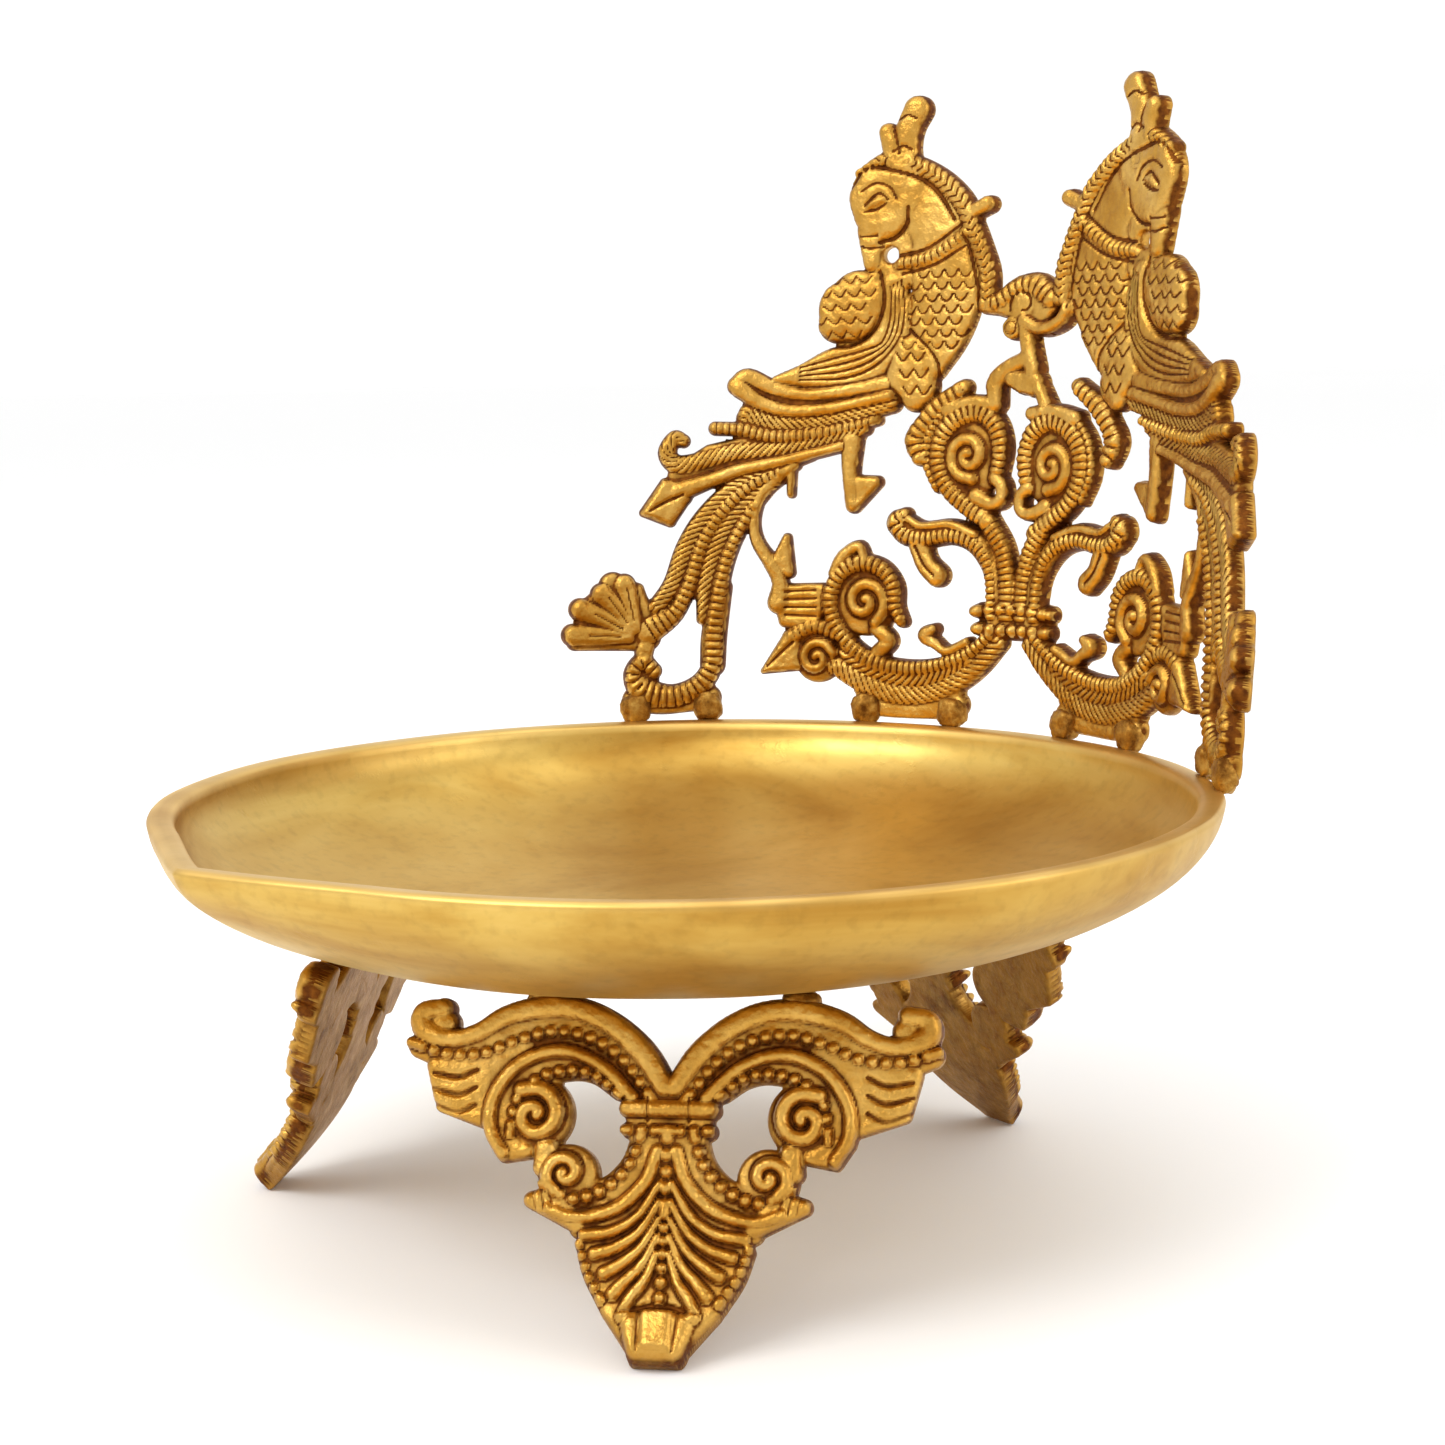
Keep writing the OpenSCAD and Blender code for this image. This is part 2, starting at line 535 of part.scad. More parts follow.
module braze_plate_1() { rim_braze(-bead_u[3]); }
module braze_plate_2() { rim_braze(-bead_u[2]); }
module braze_plate_3() { rim_braze(-bead_u[1]); }
module braze_plate_4() { rim_braze(-bead_u[0]); }
module braze_plate_5() { rim_braze(bead_u[0]); }
module braze_plate_6() { rim_braze(bead_u[1]); }
module braze_plate_7() { rim_braze(bead_u[2]); }
module braze_plate_8() { rim_braze(bead_u[3]); }
module braze_leg_right_1() { leg_braze(leg_spread - 180, twist_right, -bead_w); }
module braze_leg_right_2() { leg_braze(leg_spread - 180, twist_right, bead_w); }
module braze_leg_left_1() { leg_braze(180 - leg_spread, twist_left, -bead_w); }
module braze_leg_left_2() { leg_braze(180 - leg_spread, twist_left, bead_w); }
module braze_leg_back_1() { leg_braze(0, twist_back, -bead_w); }
module braze_leg_back_2() { leg_braze(0, twist_back, bead_w); }

bowl();
back_plate();
leg_right();
leg_left();
leg_back();
braze_plate_1();
braze_plate_2();
braze_plate_3();
braze_plate_4();
braze_plate_5();
braze_plate_6();
braze_plate_7();
braze_plate_8();
braze_leg_right_1();
braze_leg_right_2();
braze_leg_left_1();
braze_leg_left_2();
braze_leg_back_1();
braze_leg_back_2();
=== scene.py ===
import math

import bpy
import numpy as np
from mathutils import Matrix, Vector, noise


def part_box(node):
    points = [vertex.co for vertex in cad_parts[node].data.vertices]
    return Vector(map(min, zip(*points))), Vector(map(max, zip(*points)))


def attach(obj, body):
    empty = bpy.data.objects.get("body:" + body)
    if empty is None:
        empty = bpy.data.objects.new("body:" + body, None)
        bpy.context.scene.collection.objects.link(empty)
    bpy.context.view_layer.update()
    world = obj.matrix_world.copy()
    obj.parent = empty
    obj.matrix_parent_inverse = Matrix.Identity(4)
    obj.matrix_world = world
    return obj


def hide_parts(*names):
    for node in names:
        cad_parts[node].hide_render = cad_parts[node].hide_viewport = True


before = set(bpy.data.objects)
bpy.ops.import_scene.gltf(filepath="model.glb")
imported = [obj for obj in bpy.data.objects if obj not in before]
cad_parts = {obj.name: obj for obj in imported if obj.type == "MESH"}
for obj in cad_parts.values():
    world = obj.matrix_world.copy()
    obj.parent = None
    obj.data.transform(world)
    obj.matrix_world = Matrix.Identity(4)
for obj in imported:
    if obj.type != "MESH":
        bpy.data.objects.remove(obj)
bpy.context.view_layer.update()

# ---- Camera ----
# A plain camera at the front right of the lamp, a little above its rim, so near
# that the bowl fills the width of the view.

bowl_low, bowl_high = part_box("bowl")
rim_r = (bowl_high.x - bowl_low.x) / 2
rim_z = bowl_high.z
axis_y = bowl_high.y - rim_r
round_by = math.radians(52.6)
looking_down = math.radians(9.49)
stand_off = 0.4779
aim = Vector((0.0077, 0, 0.0130))
lean_of_camera = math.radians(-1.28)

to_lamp = Matrix.Translation((0, axis_y, rim_z)) @ Matrix.Rotation(round_by, 4, "Z")
eye = Vector((0, -stand_off * math.cos(looking_down), stand_off * math.sin(looking_down)))
ahead = (aim - eye).normalized()
level = ahead.cross(Vector((0, 0, 1))).normalized()
upright = level.cross(ahead)
across = math.cos(lean_of_camera) * level + math.sin(lean_of_camera) * upright
upward = math.cos(lean_of_camera) * upright - math.sin(lean_of_camera) * level
camera = bpy.data.objects.new("camera", bpy.data.cameras.new("camera"))
bpy.context.collection.objects.link(camera)
facing = Matrix((across, upward, -ahead)).transposed().to_4x4()
camera.matrix_world = to_lamp @ Matrix.Translation(eye) @ facing
camera.data.sensor_width = 36
camera.data.lens = 64.7
camera.data.shift_x = 0.0066
camera.data.clip_end = 20
bpy.context.scene.camera = camera

# ---- Bowl ----
# A shallow dish of sand-cast brass with a pinched lip for the wick. The casting is
# turned and brushed to a satin inside and out, and its rim is filed flat by hand.

bowl_depth = rim_z - bowl_low.z
floor_r = 0.040
wall = 0.004
rim_flat = 0.005
rim_dip = 0.0014
beaten_by = 0.0005
front_in = 0.0065
lip_out = 0.0075
lip_angle = 22
SPOKES = 360


def shade_nodes(material):
    """Empties a material's node tree, and gives a function that adds a node to it with its links."""
    material.use_nodes = True
    tree = material.node_tree
    for n in list(tree.nodes):
        tree.nodes.remove(n)

    def add(kind, inputs=(), **settings):
        n = tree.nodes.new(kind)
        for key, value in settings.items():
            setattr(n, key, value)
        for key, value in dict(inputs).items():
            if isinstance(value, bpy.types.NodeSocket):
                tree.links.new(value, n.inputs[key])
            else:
                n.inputs[key].default_value = value
        return n

    return add


def ramp(add, value, stops):
    """A colour or grey ramp over a value. Each stop is (place, colour)."""
    n = add("ShaderNodeValToRGB", {"Fac": value})
    bar = n.color_ramp
    while len(bar.elements) < len(stops):
        bar.elements.new(0.5)
    for element, (place, colour) in zip(bar.elements, stops):
        element.position = place
        element.color = colour if len(colour) == 4 else (*colour, 1)
    return n.outputs["Color"]


def grey(v):
    return (v, v, v)


def satin_brass(name):
    """Brushed brass: pale gold with honey bands along the turning, small pits and a bright rim."""
    material = bpy.data.materials.new(name)
    add = shade_nodes(material)
    place = add("ShaderNodeTexCoord").outputs["Object"]
    wide = add("ShaderNodeMapping", {"Vector": place, "Scale": (1, 1, 3.5)}).outputs[0]
    clouds = add("ShaderNodeTexNoise", {"Vector": wide, "Scale": 16, "Detail": 5, "Roughness": 0.55,
                                        "Distortion": 0.6}).outputs["Fac"]
    fine = add("ShaderNodeTexNoise", {"Vector": place, "Scale": 420, "Detail": 4}).outputs["Fac"]
    worn = add("ShaderNodeAttribute", attribute_name="edge").outputs["Fac"]
    colour = ramp(add, clouds, [(0.30, (0.38, 0.185, 0.026)), (0.43, (0.51, 0.300, 0.060)),
                                (0.55, (0.61, 0.395, 0.095)), (0.74, (0.72, 0.51, 0.15))])
    specks = ramp(add, fine, [(0.0, grey(0.62)), (0.36, grey(0.88)), (0.5, grey(1))])
    # a mix node's colours are its sockets 6 and 7, and its coloured result is output 2
    speckled = add("ShaderNodeMix", {0: 0.6, 6: colour, 7: specks}, data_type="RGBA",
                   blend_type="MULTIPLY")
    rim = add("ShaderNodeMix", {0: worn, 6: speckled.outputs[2], 7: (0.76, 0.50, 0.16, 1)},
              data_type="RGBA")
    rough = ramp(add, clouds, [(0.3, grey(0.50)), (0.75, grey(0.36))])
    pits = add("ShaderNodeTexNoise", {"Vector": place, "Scale": 130, "Detail": 6,
                                      "Roughness": 0.7}).outputs["Fac"]
    pitted = ramp(add, pits, [(0.30, grey(0)), (0.40, grey(1))])
    beaten = add("ShaderNodeTexNoise", {"Vector": place, "Scale": 24, "Detail": 2}).outputs["Fac"]
    dents = add("ShaderNodeBump", {"Height": beaten, "Strength": 0.45, "Distance": 0.003})
    bump = add("ShaderNodeBump", {"Height": pitted, "Strength": 0.14, "Distance": 0.0004,
                                  "Normal": dents.outputs[0]})
    grain = add("ShaderNodeBump", {"Height": fine, "Strength": 0.10, "Distance": 0.0002,
                                   "Normal": bump.outputs[0]})
    shader = add("ShaderNodeBsdfPrincipled", {"Base Color": rim.outputs[2], "Metallic": 1.0,
                                              "Roughness": rough, "Normal": grain.outputs[0]})
    add("ShaderNodeOutputMaterial", {"Surface": shader.outputs[0]})
    return material


def mesh_object(name, points, face_blocks, material, floats=None):
    """A smooth mesh from points in metres and blocks of faces, one block for each count of sides,
    with named values that belong to its points."""
    corners = np.concatenate([block.ravel() for block in face_blocks])
    sides = np.concatenate([np.full(len(block), block.shape[1]) for block in face_blocks])
    starts = np.concatenate([[0], np.cumsum(sides)[:-1]])
    mesh = bpy.data.meshes.new(name)
    mesh.vertices.add(len(points))
    mesh.vertices.foreach_set("co", np.asarray(points, np.float32).ravel())
    mesh.loops.add(len(corners))
    mesh.loops.foreach_set("vertex_index", corners.astype(np.int32))
    mesh.polygons.add(len(starts))
    mesh.polygons.foreach_set("loop_start", starts.astype(np.int32))
    mesh.update(calc_edges=True)
    mesh.validate()
    for key, values in (floats or {}).items():
        mesh.attributes.new(key, "FLOAT", "POINT").data.foreach_set("value", values.astype(np.float32))
    mesh.polygons.foreach_set("use_smooth", np.ones(len(mesh.polygons), bool))
    mesh.materials.append(material)
    made = bpy.data.objects.new(name, mesh)
    bpy.context.collection.objects.link(made)
    return made


def plan_r(turn, lip):
    """Radius of the rim at a turn from the lip, in degrees: drawn in at the front, pinched at the lip."""
    drawn = front_in * np.maximum(0, np.cos(np.radians(turn))) ** 2
    return rim_r - drawn + lip * np.maximum(0, 1 - np.abs(turn) / lip_angle) ** 1.5


def bowl_rings():
    """Rings from the middle of the underside, over the rim, to the middle of the floor.
    Each is (share of the way from the flat floor to the rim, height, inset, wear)."""
    rings = [(k / 8 - 1, -bowl_depth, 0, 0) for k in range(1, 8)]
    for t in np.linspace(0, 86, 30):
        share, fall = math.sin(math.radians(t)), math.cos(math.radians(t))
        rings.append((share, -bowl_depth * fall, 0, 0))
    filed = [(-0.0009, 0.0000, 0.25), (-0.0005, 0.0002, 0.7), (-0.0001, 0.0006, 1), (0, 0.0011, 0.9),
             (0, 0.0022, 0.5), (-0.0001, 0.0034, 0.6), (-0.0004, 0.0043, 0.9), (-0.0009, 0.0048, 0.8)]
    rings += [(1, z, inset, wear) for z, inset, wear in filed]
    for t in np.linspace(88, 0, 36):
        share, fall = math.sin(math.radians(t)), math.cos(math.radians(t))
        rings.append((share, -(bowl_depth - wall) * fall - rim_dip * share, rim_flat, 0))
    rings += [(-k / 8, -(bowl_depth - wall), rim_flat * (1 - k / 8), 0) for k in range(1, 8)]
    return rings


turn = np.arange(SPOKES) * 360 / SPOKES - 180
bowl_points, bowl_edge = [], []
for share, z, inset, wear in bowl_rings():
    if share < 0 and inset == 0:
        ring_r = np.full(SPOKES, floor_r * (1 + share))
    elif share < 0:
        ring_r = np.full(SPOKES, (floor_r - rim_flat) * (1 + share))
    else:
        lip = lip_out * share ** 6
        ring_r = floor_r + (plan_r(turn, lip) - floor_r) * share - inset
    x, y = ring_r * np.sin(np.radians(turn)), -ring_r * np.cos(np.radians(turn))
    for px, py in zip(x, y):
        sway = noise.noise(Vector((px, py, z)) * 28) * beaten_by
        inward = 1 - abs(sway) / rim_r if abs(share) > 0.2 else 1
        drop = min(0, sway) * 0.35 if z > -0.001 else sway * (0.5 if inset else -0.3)
        bowl_points.append((px * inward, py * inward + axis_y, rim_z + z + drop))
        bowl_edge.append(wear * (0.75 + 0.5 * noise.noise(Vector((px, py, 0)) * 90)))
rings = len(bowl_points) // SPOKES
ring, spoke = np.meshgrid(np.arange(rings - 1), np.arange(SPOKES), indexing="ij")
beside = (spoke + 1) % SPOKES
here, above = ring * SPOKES, (ring + 1) * SPOKES
bands = np.stack([here + spoke, above + spoke, above + beside, here + beside], -1).reshape(-1, 4)
# the two middles, under the foot and on the floor, are each closed by a fan
bowl_points += [(0, axis_y, rim_z - bowl_depth), (0, axis_y, rim_z - bowl_depth + wall)]
bowl_edge += [0, 0]
first, second = np.arange(SPOKES), (np.arange(SPOKES) + 1) % SPOKES
last = (rings - 1) * SPOKES
under_fan = np.column_stack([np.full(SPOKES, rings * SPOKES), first, second])
floor_fan = np.column_stack([np.full(SPOKES, rings * SPOKES + 1), last + second, last + first])
bowl = mesh_object("bowl_shell", bowl_points, [bands, under_fan, floor_fan], satin_brass("satin_brass"),
                   {"edge": np.array(bowl_edge)})
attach(bowl, "root")
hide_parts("bowl")

# ---- Back plate ----
# An openwork casting of two peacocks turned from each other on leafy scrolls, in
# brass, with its front modelled, brushed bright, and brown patina left in the low
# places. It is bent round the back of the rim and stands on beads of braze.

MM = 0.001
plate_gap = 0.0008
plate_r = rim_r + 0.003
plate_lean = math.radians(4)
plate_turn = math.radians(7)
rib_depth = 0.4


def rounded(points, parts=5):
    """A smooth run of places through given ones. Each place is (across, up, half width)."""
    p = np.array(points, float)
    if len(p) < 3:
        return p
    q = np.vstack([2 * p[0] - p[1], p, 2 * p[-1] - p[-2]])
    run = []
    for a, b, c, d in zip(q, q[1:], q[2:], q[3:]):
        for t in np.arange(parts) / parts:
            run.append(0.5 * (2 * b + (c - a) * t + (2 * a - 5 * b + 4 * c - d) * t ** 2
                              + (3 * b - a - 3 * c + d) * t ** 3))
    run.append(p[-1])
    run = np.array(run)
    run[:, 2] = np.maximum(run[:, 2], 0.3)
    return run


class Casting:
    """The modelled face of a flat casting on a fine grid, in millimetres."""

    def __init__(self, left, right, low, high, pitch):
        self.pitch = pitch
        self.x = np.arange(left, right, pitch)
        self.y = np.arange(low, high, pitch)
        self.grid_x, self.grid_y = np.meshgrid(self.x, self.y)
        self.inside = np.full(self.grid_x.shape, -9.0)
        self.rise = np.zeros(self.grid_x.shape)
        self.cut = np.zeros(self.grid_x.shape)

    def window(self, low_x, high_x, low_y, high_y):
        i = np.clip(np.searchsorted(self.x, [low_x, high_x]) + (-1, 1), 0, len(self.x))
        j = np.clip(np.searchsorted(self.y, [low_y, high_y]) + (-1, 1), 0, len(self.y))
        return slice(j[0], j[1]), slice(i[0], i[1])

    def follow(self, run, spare=1.5):
        """For each place near a run: how deep inside it lies, how far out from its line as a share
        of the half width, how far along it, and on which side."""
        wide = run[:, 2].max() + spare
        win = self.window(run[:, 0].min() - wide, run[:, 0].max() + wide,
                          run[:, 1].min() - wide, run[:, 1].max() + wide)
        gx, gy = self.grid_x[win], self.grid_y[win]
        deep = np.full(gx.shape, -9.0)
        out, along, off = (np.ones(gx.shape), np.zeros(gx.shape), np.zeros(gx.shape))
        gone = 0.0
        for p, q in zip(run[:-1], run[1:]):
            step = q[:2] - p[:2]
            length = max(math.hypot(*step), 1e-6)
            near = max(p[2], q[2]) + spare
            cols = np.searchsorted(gx[0], [min(p[0], q[0]) - near, max(p[0], q[0]) + near])
            rows = np.searchsorted(gy[:, 0], [min(p[1], q[1]) - near, max(p[1], q[1]) + near])
            part = (slice(rows[0], rows[1]), slice(cols[0], cols[1]))
            dx, dy = gx[part] - p[0], gy[part] - p[1]
            t = np.clip((dx * step[0] + dy * step[1]) / length ** 2, 0, 1)
            ex, ey = dx - t * step[0], dy - t * step[1]
            dist = np.hypot(ex, ey)
            half = p[2] + (q[2] - p[2]) * t
            found = half - dist
            better = found > deep[part]
            deep[part] = np.where(better, found, deep[part])
            out[part] = np.where(better, dist / half, out[part])
            along[part] = np.where(better, gone + t * length, along[part])
            side = (step[0] * ey - step[1] * ex) / length
            off[part] = np.where(better, side, off[part])
            gone += length
        return win, deep, np.clip(out, 0, 1), along, off

    def bar(self, points, rise=1.0, work="plain", pitch=1.5, solid=True, skew=0.0):
        """A strand of metal, domed across, and plain, ribbed across, ribbed aslant or beaded along."""
        run = rounded(points)
        win, deep, out, along, off = self.follow(run)
        if solid:
            self.inside[win] = np.maximum(self.inside[win], deep)
        dome = np.sqrt(np.clip(1 - out ** 2.4, 0, 1))
        if work in ("ribbed", "slant"):
            leaned = off if work == "slant" else np.abs(off)
            wave = 0.5 - 0.5 * np.cos(2 * np.pi * (along + skew * leaned) / pitch)
            dome = dome * (1 - rib_depth + rib_depth * np.sqrt(wave))
        if work == "beaded":
            from_bead = (along / pitch - np.round(along / pitch)) * pitch
            ball = np.clip(1 - (from_bead ** 2 + off ** 2) / (0.52 * pitch) ** 2, 0, 1)
            dome = np.maximum(0.25 * dome, np.sqrt(ball))
        self.rise[win] = np.maximum(self.rise[win], np.where(deep > 0, rise * dome, 0))

    def dab(self, place, rise=1.0, solid=True):
        x, y, r = place
        self.bar([(x, y, r), (x + 0.01, y, r)], rise, solid=solid)

    def groove(self, points, depth=0.6):
        """A line cut into the face."""
        win, deep, out = self.follow(rounded(points), 0.2)[:3]
        self.cut[win] = np.maximum(self.cut[win], np.where(deep > 0, depth * (1 - out ** 2), 0))

    def field(self, ring, rise=0.3, bevel=1.4):
        """A patch of metal inside a ring of rounds, bevelled at its edge."""
        closed = np.array(list(ring) + [ring[0]], float)
        win, deep = self.follow(closed)[:2]
        gx, gy = self.grid_x[win], self.grid_y[win]
        within = np.zeros(gx.shape, bool)
        near = np.full(gx.shape, 99.0)
        for p, q in zip(closed[:-1], closed[1:]):
            low, high = (p, q) if p[1] < q[1] else (q, p)
            slope = (high[0] - low[0]) / max(high[1] - low[1], 1e-9)
            crosses = (gy >= low[1]) & (gy < high[1]) & (gx < low[0] + (gy - low[1]) * slope)
            within ^= crosses
            step = q[:2] - p[:2]
            t = np.clip(((gx - p[0]) * step[0] + (gy - p[1]) * step[1]) / max(step @ step, 1e-9), 0, 1)
            near = np.minimum(near, np.hypot(gx - p[0] - t * step[0], gy - p[1] - t * step[1]))
        deep = np.where(within, np.maximum(deep, near + closed[:, 2].mean()), deep)
        self.inside[win] = np.maximum(self.inside[win], deep)
        flat = np.clip(deep / bevel, 0, 1)
        self.rise[win] = np.maximum(self.rise[win], rise * np.sqrt(1 - (1 - flat) ** 2))

    def hole(self, place):
        """A round hole right through."""
        x, y, r = place
        out = np.hypot(self.grid_x - x, self.grid_y - y) - r
        self.inside = np.minimum(self.inside, out)


def blurred(values, weight, cells):
    """Values averaged over a square of cells, counting only the places that have metal."""
    def box(a):
        for axis in (0, 1):
            pad = [(cells + 1, cells) if n == axis else (0, 0) for n in (0, 1)]
            total = np.cumsum(np.pad(a, pad, mode="edge"), axis)
            ends = np.take(total, range(2 * cells + 1, total.shape[axis]), axis)
            a = (ends - np.take(total, range(0, total.shape[axis] - 2 * cells - 1), axis)) / (2 * cells + 1)
        return a
    return box(values * weight) / np.maximum(box(weight), 1e-6)


def casting_mesh(cast, low_t, high_t, edge_round, seed, dirty, back_dirt):
    """A closed mesh of a casting: points (across, up, out) in mm, faces, and how recessed or worn
    each point is. The back is plain, and the outline is rounded over at the front."""
    inside, gx, gy = cast.inside, cast.grid_x, cast.grid_y
    metal = (inside > 0)
    low = np.clip(1 - np.clip(inside, 0, edge_round) / edge_round, 0, 1)
    over = edge_round * (1 - np.sqrt(np.clip(1 - low ** 2, 0, 1)))
    face = low_t + (high_t - low_t) * cast.rise - cast.cut
    rng = np.random.default_rng(seed)
    lumps = blurred(rng.normal(size=face.shape), np.ones(face.shape), 1) * 0.10
    lumps += blurred(rng.normal(size=face.shape), np.ones(face.shape), 4) * 0.45
    weight = metal.astype(float)
    hollow = 2.4 * (blurred(face, weight, 1) - face) + 0.6 * (blurred(face, weight, 3) - face)
    hollow += 0.2 * (blurred(face, weight, 8) - face)
    hollow = dirty * hollow * np.clip(0.35 + inside / 1.6, 0, 1)
    face = np.maximum(face + lumps - over, 0.45 * low_t)
    # every cell that touches metal is kept, and its outer corners are drawn to the outline
    cell = metal[:-1, :-1] | metal[1:, :-1] | metal[:-1, 1:] | metal[1:, 1:]
    slope_y, slope_x = np.gradient(inside, cast.pitch)
    steep = np.maximum(np.hypot(slope_x, slope_y), 0.3)
    pull = np.where(metal, 0, np.clip(-inside, 0, 1.4 * cast.pitch))
    x = gx + pull * slope_x / steep
    y = gy + pull * slope_y / steep
    rows, cols = np.nonzero(cell)
    wide = inside.shape[1]
    corner = rows * wide + cols
    quads = np.stack([corner, corner + 1, corner + wide + 1, corner + wide], -1)
    used, quads = np.unique(quads, return_inverse=True)
    quads = quads.reshape(-1, 4)
    count = len(used)
    front_t = face.ravel()[used]
    back_t = (over * 0.5).ravel()[used]
    flat = np.stack([x.ravel()[used], y.ravel()[used]], -1)
    points = np.vstack([np.column_stack([flat, front_t]), np.column_stack([flat, back_t])])
    edges = np.concatenate([quads[:, [a, (a + 1) % 4]] for a in range(4)])
    key = np.sort(edges, 1)
    _, first, times = np.unique(key, axis=0, return_index=True, return_counts=True)
    rim = edges[first[times == 1]]
    walls = np.stack([rim[:, 1], rim[:, 0], rim[:, 0] + count, rim[:, 1] + count], -1)
    faces = np.vstack([quads, quads[:, ::-1] + count, walls])
    recess = np.concatenate([hollow.ravel()[used], np.full(count, back_dirt)])
    return points, faces, recess


def scroll(centre, r0, r1, start, turns, w0, w1, n=14):
    """A strand that winds in to its eye."""
    k = np.linspace(0, 1, n)
    a = np.radians(start + 360 * turns * k)
    r = r0 + (r1 - r0) * k
    return np.column_stack([centre[0] + r * np.cos(a), centre[1] + r * np.sin(a), w0 + (w1 - w0) * k])


def moved(points, side, shift=(0, 0)):
    """Places on a casting's right half, set on its left half when side is -1, and shifted."""
    p = np.array(points, float).reshape(-1, 3)
    return p * (side, 1, 1) + (shift[0], shift[1], 0)


def half_tools(cast, side, shift=(0, 0)):
    """A casting's bar, groove and field, which take places on its right half and work on one side."""
    def on_side(tool):
        return lambda points, *rest, **more: tool(moved(points, side, shift), *rest, **more)
    return on_side(cast.bar), on_side(cast.groove), on_side(cast.field)


def peacock(cast, side):
    bar, groove, field = half_tools(cast, side)

    # neck, breast and head, with the beak tucked down to the breast
    bar([(28, 112, 6.5), (22, 105, 6.5), (19.8, 98, 8.2), (19.6, 91, 8.2), (21, 84, 7), (24, 77, 5.2)], 0.62)
    bar([(36.6, 105, 3.4), (36.4, 98, 2.1)], 0.62)
    field([(34.3, 112, 7.4), (33.6, 109.5, 7.3), (30, 113, 6.5)], 0.85, 4)
    field([(35.5, 101, 2.2), (35, 96, 1.6), (29, 94, 2), (29, 103, 2)], 0.35, 1.4)
    # crest lobes and the knob on the mantle
    bar([(30, 118, 4), (29.8, 122.5, 3.4), (28.6, 126.5, 2.9), (26.9, 130, 3.1)], 0.85)
    bar([(33.2, 125.6, 2.1), (31.5, 121.6, 3)], 0.85)
    groove([(31.8, 126.6, 0.4), (30.8, 124, 0.5), (30.2, 120.8, 0.4)])
    bar([(14, 107.6, 1.8), (10.2, 109.3, 1.9)], 0.8)
    groove([(27.6, 121.6, 0.5), (29.4, 122.4, 0.5), (31.4, 121.4, 0.5)])
    groove([(26.4, 128, 0.4), (28.4, 128.8, 0.4), (30.2, 128, 0.4)])
    # mantle, ribbed from the crown down the back of the neck
    bar([(39, 117, 1.4), (33, 120, 1.8), (27, 118.6, 1.9), (21, 115, 2.1), (16.2, 110.3, 2.1),
         (13.8, 105.5, 2), (11.4, 100, 2), (9.6, 95, 2), (9.4, 89, 2)], 0.9, "ribbed", 1.7, skew=0.7)
    # eye, brow and ear
    bar([(33.4, 111.4, 0.7), (35.2, 110.8, 1.1), (36.8, 109.8, 0.7)], 1.05)
    groove([(32.4, 111.2, 0.35), (34.6, 112.6, 0.45), (37.6, 110.2, 0.4)], 0.5)
    groove([(32.8, 110.4, 0.35), (35, 109.2, 0.45), (37.4, 108.8, 0.35)], 0.5)
    groove([(30.6, 111.4, 0.4), (32.2, 113.8, 0.5), (35.2, 114.8, 0.5), (38.4, 113.2, 0.4)], 0.5)
    bar(scroll((30.2, 115.4), 1.5, 1.5, 0, 1, 0.5, 0.5), 0.95)
    groove([(41, 114, 0.5), (37, 118.2, 0.6), (30, 116.9, 0.6), (25, 115, 0.6), (21, 111.5, 0.6),
            (17.6, 106.4, 0.5)], 0.8)
    # cheek, and the parting of the beak
    groove([(28, 109.5, 0.5), (28.5, 106, 0.6), (31, 103.3, 0.6), (34.5, 102.2, 0.5)], 0.8)
    groove([(34.8, 103.8, 0.35), (37, 103.5, 0.35), (39, 103.8, 0.35)], 0.4)
    groove([(33.8, 101.4, 0.4), (36.6, 101, 0.4), (38.6, 101.6, 0.4)], 0.6)
    # ribbed collar at the foot of the neck
    bar([(30.4, 97.6, 1.3), (26.6, 98, 1.4), (22.6, 98.8, 1.5), (18.6, 101, 1.5), (15, 103.4, 1.4)],
        0.95, "ribbed", 1.6, solid=False)
    groove([(29.8, 99.4, 0.4), (23, 100.8, 0.5), (15.8, 105.4, 0.4)], 0.6)
    groove([(29.3, 95.4, 0.4), (22, 97, 0.5), (14.4, 101, 0.4)], 0.6)
    # breast feathers in overlapping rows
    for row in range(7):
        for k in range(4 + row % 2):
            at_x = 14.6 + 3.3 * k - 1.65 * (row % 2) + 0.5 * row
            at_y = 95 - 2.5 * row
            groove([(at_x - 1.5, at_y + 0.8, 0.38), (at_x - 0.8, at_y - 0.3, 0.4), (at_x, at_y - 0.7, 0.42),
                    (at_x + 0.8, at_y - 0.3, 0.4), (at_x + 1.5, at_y + 0.8, 0.38)], 0.42)
    groove([(15.2, 103.4, 0.4), (13.4, 98, 0.5), (12, 92, 0.5), (11.8, 87, 0.4)], 0.8)
    # shoulder pad with short curved feathers
    field([(41.3, 88.2, 7), (39.3, 90.3, 6.4), (44.2, 85.2, 4.2), (36.5, 94.2, 2)], 0.85, 5)
    groove([(34.5, 96, 0.5), (33.3, 91, 0.6), (34.2, 86, 0.6), (37, 82.3, 0.6), (42, 80.2, 0.6),
            (48.3, 80.9, 0.5)], 0.9)
    for row in range(5):
        for k in range(3 + row % 2):
            at_x = 37.6 + 3.3 * k - 1.6 * (row % 2) + 0.5 * row
            at_y = 94.4 - 2.9 * row
            groove([(at_x - 1.4, at_y + 0.7, 0.38), (at_x - 0.2, at_y - 0.7, 0.42),
                    (at_x + 1.5, at_y + 0.3, 0.38)], 0.42)
